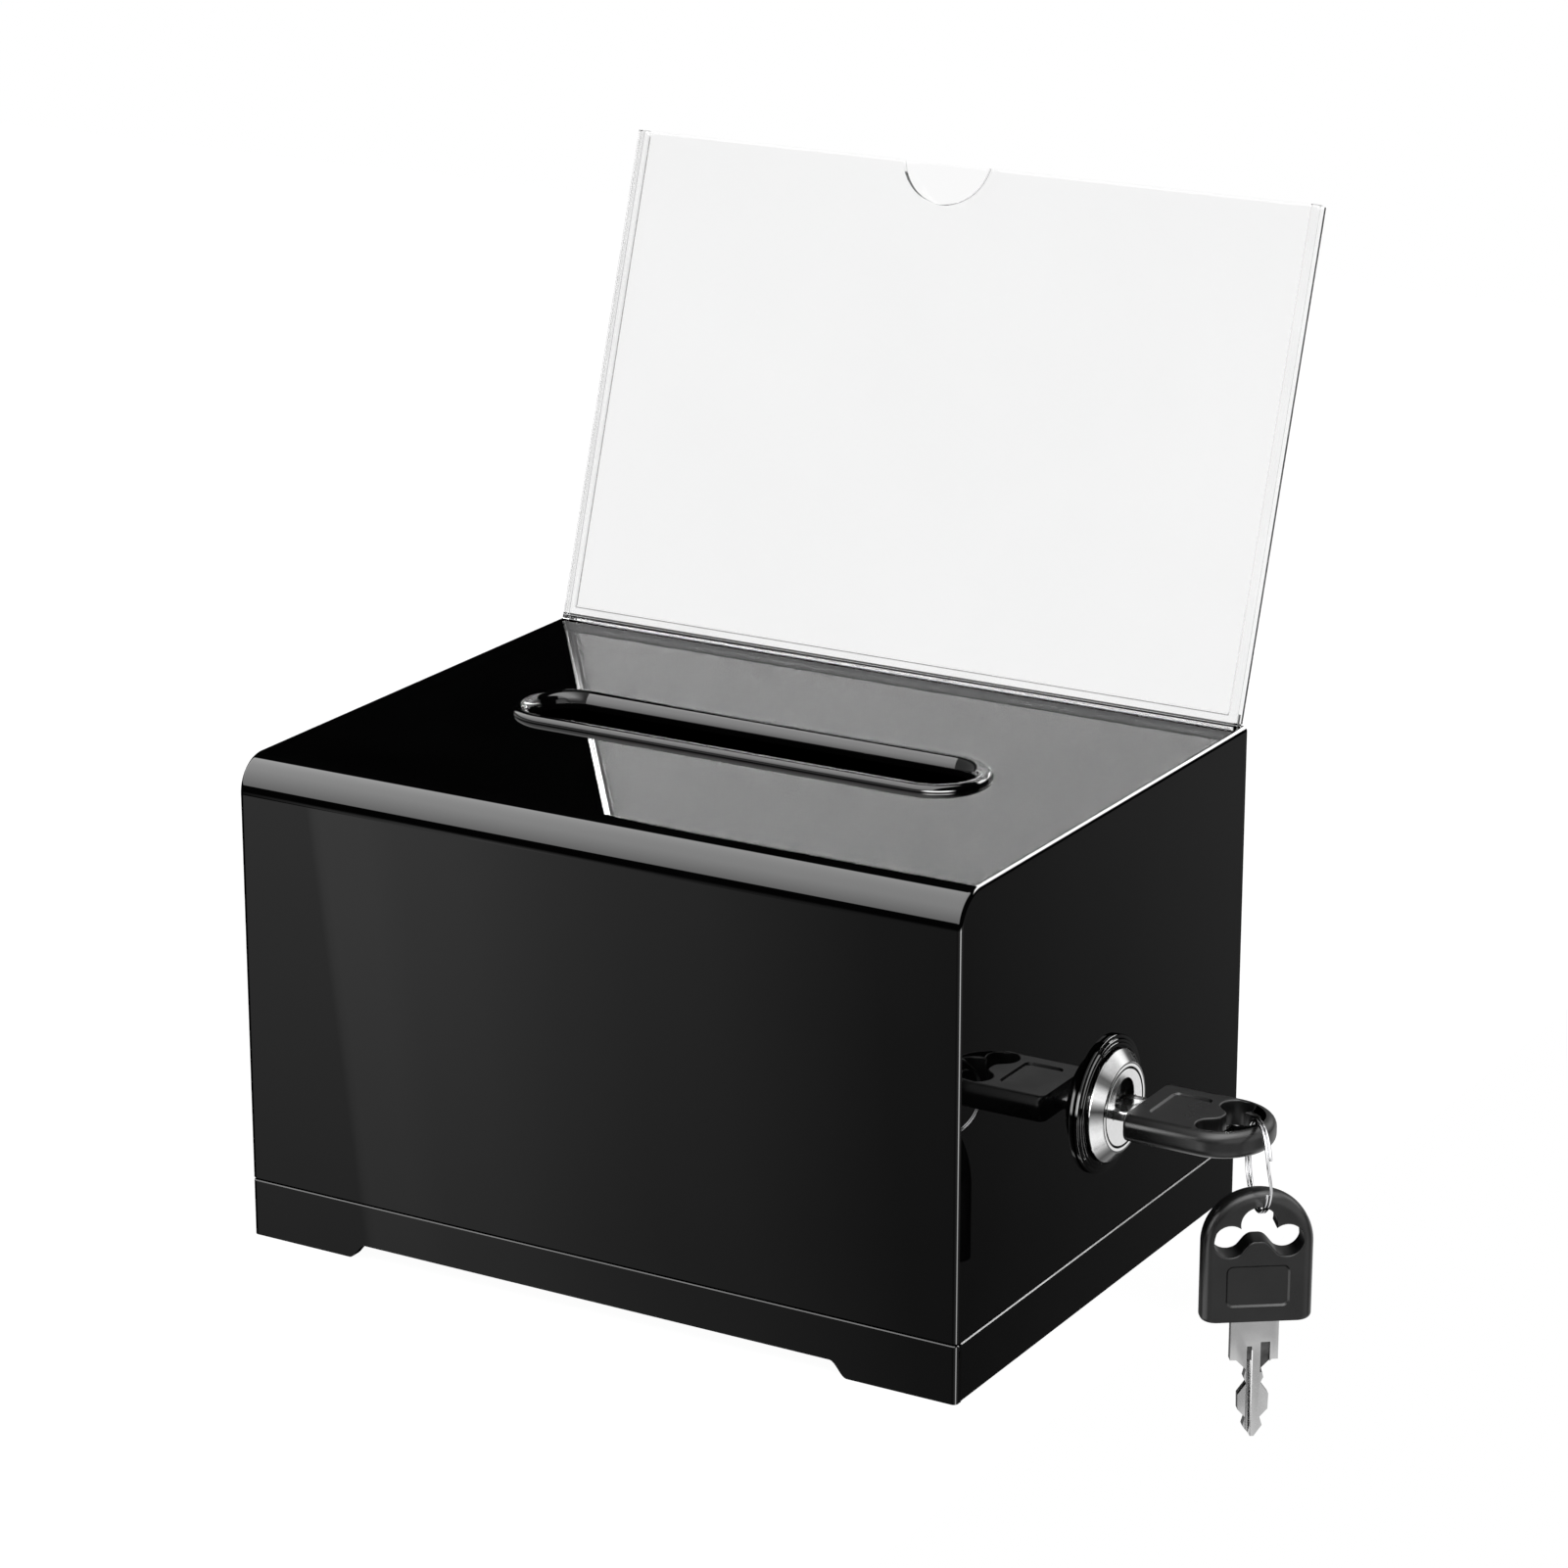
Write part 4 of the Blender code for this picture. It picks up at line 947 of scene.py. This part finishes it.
def make_sign():
    clear = clear_acrylic("clear_acrylic_sheet")
    bonded = bonded_acrylic("clear_acrylic_weld")
    # a dark colour for the painted shade along the back sheet's right edge
    line = cement("clear_acrylic_edge_painted_shade", 0.045, 1.0)
    glue = cement("clear_acrylic_cement", 0.22, 0.5)
    inner, low, high = SIGN_HALF - SIDE_STRIP, BOTTOM_STRIP + 0.1, SIGN_TALL
    left = ((-SIGN_HALF, low), (-inner, low), (-inner, high), (-SIGN_HALF, high))
    right = ((inner, low), (SIGN_HALF, low), (SIGN_HALF, high), (inner, high))
    foot = 0.5
    bar = ((-SIGN_HALF, foot), (-TAB_HALF, foot), (-TAB_HALF, -TAB_DEEP), (TAB_HALF, -TAB_DEEP),
           (TAB_HALF, foot), (SIGN_HALF, foot), (SIGN_HALF, BOTTOM_STRIP),
           (-SIGN_HALF, BOTTOM_STRIP))
    behind = SIGN_SHEET + SIGN_POCKET
    pieces = [
        (make_sheet("sign_sheet_front", 0.0, True, clear, bonded, line), "sign_front_sheet"),
        (make_sheet("sign_sheet_back", behind, False, clear, bonded, line), "sign_back_sheet"),
        (make_strip("sign_edge_left", left, clear, bonded), "sign_strip_left"),
        (make_strip("sign_edge_right", right, clear, bonded, True), "sign_strip_right"),
        (make_strip("sign_edge_bottom", bar, clear, bonded), "sign_bottom_strip"),
    ]
    side, low, high = 74.35, 2.7, 100.5
    for name, start, end in (
        ("sign_cement_left", (-side, low), (-side, high)),
        ("sign_cement_right", (side, low), (side, 24.0)),
        ("sign_cement_bottom", (-side, low), (side, low)),
    ):
        bead = make_bead(name, lean_point(*start, 2.0), lean_point(*end, 2.0), glue)
        bead.visible_shadow = False
        shade(bead, 60.0)
        seat(bead, "sign_holder", "clear_acrylic")
    for made, node in pieces:
        made.visible_shadow = False
        seat(made, "sign_holder", "clear_acrylic", node)


# Build the pieces

make_casing()
make_base()
make_rim()
make_lock()
make_keys()
make_sign()

inner_black = black_acrylic("black_acrylic_inside", 0.0008, 0.0016, (0.0, 0.0036))
zinc_look = zinc("zinc_plating_parts")
# painted shade at the plug's edge and in its round recess
plug_face = Vector((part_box("lock_plug")[1].x, 0.0, LOCK_Z * MM))
plug_look = lock_painted_light_look(
    "bright_plating_plug_painted_shade", nodes["lock_plug"].matrix_world.inverted() @ plug_face,
    ((0.006, 0.78), (0.00730, 0.78), (0.00736, 0.02), (0.012, 0.02)),
    pit=(0.0018, 0.00402, -0.0002),
)
brass_look = brass("brass_wafers")
for name, look, slot in (
    ("base_plate", inner_black, "black_acrylic"),
    ("locating_plate", inner_black, "black_acrylic"),
    ("lock_plug", plug_look, "bright_plating"),
    ("lock_nut", zinc_look, "zinc_plating"),
    ("cam", zinc_look, "zinc_plating"),
    ("cam_washer", zinc_look, "zinc_plating"),
    ("cam_screw", zinc_look, "zinc_plating"),
    ("catch_bracket", zinc_look, "zinc_plating"),
    ("catch_screw_left", zinc_look, "zinc_plating"),
    ("catch_screw_right", zinc_look, "zinc_plating"),
    ("wafer_1", brass_look, "brass"),
    ("wafer_2", brass_look, "brass"),
    ("wafer_3", brass_look, "brass"),
    ("wafer_4", brass_look, "brass"),
):
    made = nodes[name]
    made.data.materials.clear()
    made.data.materials.append(look)

# Floor


def make_floor():
    """A pale table top whose right edge is just beyond the box, so the spare key hangs over it."""
    low, high = P(-900, -700, -0.05), P(95, 900, -0.05)
    steps = 24
    vertices, faces = [], []
    for j in range(steps + 1):
        for i in range(steps + 1):
            vertices.append((low.x + (high.x - low.x) * i / steps,
                             low.y + (high.y - low.y) * j / steps, low.z))
    for j in range(steps):
        for i in range(steps):
            a = j * (steps + 1) + i
            faces.append((a, a + 1, a + steps + 2, a + steps + 1))
    emitted, share_emitted = 1.07, 0.90
    look = bpy.data.materials.new("pale_table")
    look.use_nodes = True
    tree = look.node_tree
    tree.nodes.clear()
    n = Nodes(tree)
    shade_part = n.add("ShaderNodeBsdfDiffuse")
    shade_part.inputs["Color"].default_value = (0.86, 0.86, 0.86, 1)
    white = n.add("ShaderNodeEmission")
    white.inputs["Color"].default_value = (1, 1, 1, 1)
    white.inputs["Strength"].default_value = emitted
    mix = n.add("ShaderNodeMixShader")
    mix.inputs[0].default_value = share_emitted
    n.link(shade_part.outputs[0], mix.inputs[1])
    n.link(white.outputs[0], mix.inputs[2])
    out = n.add("ShaderNodeOutputMaterial")
    n.link(mix.outputs[0], out.inputs[0])
    mesh = bpy.data.meshes.new("table_top")
    mesh.from_pydata(vertices, [], faces)
    mesh.materials.append(look)
    floor = bpy.data.objects.new("table_top", mesh)
    bpy.context.scene.collection.objects.link(floor)
    floor.visible_glossy = False
    floor.visible_diffuse = False
    floor.visible_transmission = False


make_floor()

# Light


def make_world():
    world = bpy.data.worlds.new("studio")
    bpy.context.scene.world = world
    world.use_nodes = True
    world.cycles.sampling_method = "NONE"
    tree = world.node_tree
    tree.nodes.clear()
    n = Nodes(tree)
    path = n.add("ShaderNodeLightPath")
    place = n.add("ShaderNodeTexCoord")
    parts = n.add("ShaderNodeSeparateXYZ")
    n.link(place.outputs["Generated"], parts.inputs[0])
    x, y, z = parts.outputs

    def smooth(value, low, high):
        return n.ramp(value, low, high, smooth=True)

    def band(value, low, high, soft=0.04):
        return times(smooth(value, low - soft / 2, low + soft / 2),
                     smooth(value, high + soft / 2, high - soft / 2))

    def times(first, *others):
        for other in others:
            first = n.math("MULTIPLY", first, other)
        return first

    def plus(first, *others):
        for other in others:
            first = n.math("ADD", first, other)
        return first

    def without(value):
        return n.math("SUBTRACT", 1.0, value)

    # a large soft box over the front, and a rim light behind, to the right
    box_place = times(band(z, 0.125, 2.0, 0.02), band(y, -2.0, 0.27), band(x, -2.0, 0.37, 0.1))
    soft_box = times(box_place, n.ramp(z, 0.14, 0.72, 3.0, 5.1))
    rim = times(band(z, 0.30, 0.64), band(y, 0.57, 2.0), band(x, -0.19, 2.0))

    # the ground as mirror-like faces see it, brighter to the front left; a face that is
    # itself seen in a sheet gets less of the rim light and more from the front right
    turned = n.math("DIVIDE", n.math("ARCTAN2", x, n.math("MULTIPLY", y, -1.0)), radians(1.0))
    bearing = plus(turned, n.ramp(z, -0.519, -0.119, -1.4, 1.4))

    def levels(value, stops):
        low, high = stops[0][0], stops[-1][0]
        return n.colours(n.ramp(value, low, high),
                         [((at - low) / (high - low), (level,) * 3) for at, level in stops])

    near = levels(bearing, (
        (-46, 0.0), (-40.5, 0.02), (-38.2, 0.58), (-36.15, 0.60), (-36.05, 0.885),
        (-35.5, 0.885), (-35.1, 0.80), (-34.4, 0.76), (-33.4, 0.60), (-32.5, 0.51),
        (-31.5, 0.46), (-30.5, 0.35), (-29.5, 0.24), (-28.5, 0.22), (-26, 0.21),
    ))
    wide = levels(bearing, (
        (-180, 0.21), (-26, 0.21), (0, 0.12), (48, 0.55), (60, 0.8), (66, 14.0), (80, 14.0),
        (86, 1.0), (130, 0.20), (150, 0.055), (155, 0.155), (170, 0.16), (178, 0.0), (180, 0.0),
    ))
    beyond = n.math("GREATER_THAN", bearing, -26.0)
    ground = plus(times(wide, beyond), times(near, without(beyond)))
    ground = times(ground, smooth(z, -0.14, -0.295), n.ramp(z, -0.31, -0.395, 1.0, 0.58))
    again = n.math("GREATER_THAN", path.outputs["Glossy Depth"], 1.5)
    beside = times(band(turned, 5.0, 60.0, 20.0), band(z, -0.06, 0.46, 0.14), again)
    mirror = plus(soft_box, ground, times(rim, n.ramp(again, 0.0, 1.0, 14.0, 2.0)),
                  times(beside, 55.0))

    # the same studio as brushed, moulded and clear faces see it, evened out
    level = levels(turned, (
        (-180, 0.6), (-155, 0.15), (-8, 0.15), (15, 0.60), (60, 0.62), (74, 0.9), (92, 0.9),
        (102, 0.60), (114, 0.30), (132, 0.20), (144, 0.85), (150, 0.95), (168, 0.95), (180, 0.6),
    ))
    deep = times(smooth(z, -0.45, -0.72), without(band(turned, -85.0, 0.0, 20.0)))
    even = times(plus(times(level, without(deep)), deep), smooth(z, 0.02, -0.10))
    front_left = times(band(turned, -68.0, -8.0, 14.0), band(z, -0.62, -0.06, 0.14))
    overhead = times(smooth(z, 0.60, 0.86), smooth(x, -0.25, 0.05))
    right = times(band(x, 0.45, 2.0, 0.15), band(z, -0.03, 0.62, 0.06), band(y, -2.0, 0.5, 0.2))
    behind = times(smooth(y, 0.35, 0.85), smooth(x, -0.25, 0.25), band(z, 0.2, 0.75, 0.15))
    sky = times(n.ramp(y, 0.3, 0.8, 0.12, 0.18), smooth(z, 0.0, 0.1))
    high_front = times(n.ramp(z, 0.36, 0.75, 0.0, 2.15), smooth(x, -0.45, -0.15))
    front_top = times(box_place, plus(high_front, 0.45))
    even = plus(even, times(front_left, 1.9), times(overhead, 2.8), times(right, 1.2),
                times(behind, 1.6), sky, front_top)
    twice = plus(times(soft_box, 1.25), times(rim, 3.5))
    even = plus(times(even, without(again)), times(twice, again))

    # what each kind of ray sees
    clean = n.math("LESS_THAN", path.outputs["Glossy Depth"], 0.5)
    across = path.outputs["Is Transmission Ray"]
    backdrop = n.math("MAXIMUM", path.outputs["Is Camera Ray"], times(across, clean))
    spread = path.outputs["Is Diffuse Ray"]
    sharp = path.outputs["Is Singular Ray"]
    seen = plus(times(mirror, sharp), times(even, without(sharp)))
    seen = plus(seen, times(rim, across, band(z, 0.2, 0.38), 14.0))
    light = plus(times(seen, without(spread)), times(spread, 0.55))
    light = plus(times(light, without(backdrop)), backdrop)
    background = n.add("ShaderNodeBackground")
    background.inputs["Color"].default_value = (1, 1, 1, 1)
    n.link(light, background.inputs["Strength"])
    out = n.add("ShaderNodeOutputWorld")
    n.link(background.outputs[0], out.inputs[0])


def make_lamp(name, place, aim, size, watts):
    data = bpy.data.lights.new(name, "AREA")
    data.shape = "RECTANGLE"
    data.size, data.size_y = size
    data.energy = watts
    lamp = bpy.data.objects.new(name, data)
    lamp.location = place
    lamp.rotation_euler = (aim - place).to_track_quat("-Z", "Y").to_euler()
    lamp.visible_glossy = False
    lamp.visible_transmission = False
    bpy.context.scene.collection.objects.link(lamp)


make_world()
middle = P(0, 57, 60)
make_lamp("soft_top", P(-250, -250, 900), middle, (0.9, 0.9), 9.0)
make_lamp("soft_right", P(700, -300, 350), middle, (0.6, 0.6), 3.0)

# Camera

SENSOR = 36.0
FOCAL_PIXELS, FRAME_PIXELS = 5122.0, 1601.0
DOWN, ASIDE = 17.97, 30.47

view = bpy.data.cameras.new("photo_view")
view.sensor_fit = "HORIZONTAL"
view.sensor_width = SENSOR
view.lens = SENSOR * FOCAL_PIXELS / FRAME_PIXELS
view.clip_start = 0.05
view.clip_end = 20.0
camera = bpy.data.objects.new("photo_view", view)
camera.location = P(467.3, -723.2, 383.5)
camera.rotation_euler = (radians(90.0 - DOWN), 0.0, radians(ASIDE))
bpy.context.scene.collection.objects.link(camera)
bpy.context.scene.camera = camera

bpy.context.scene.view_settings.view_transform = "Standard"
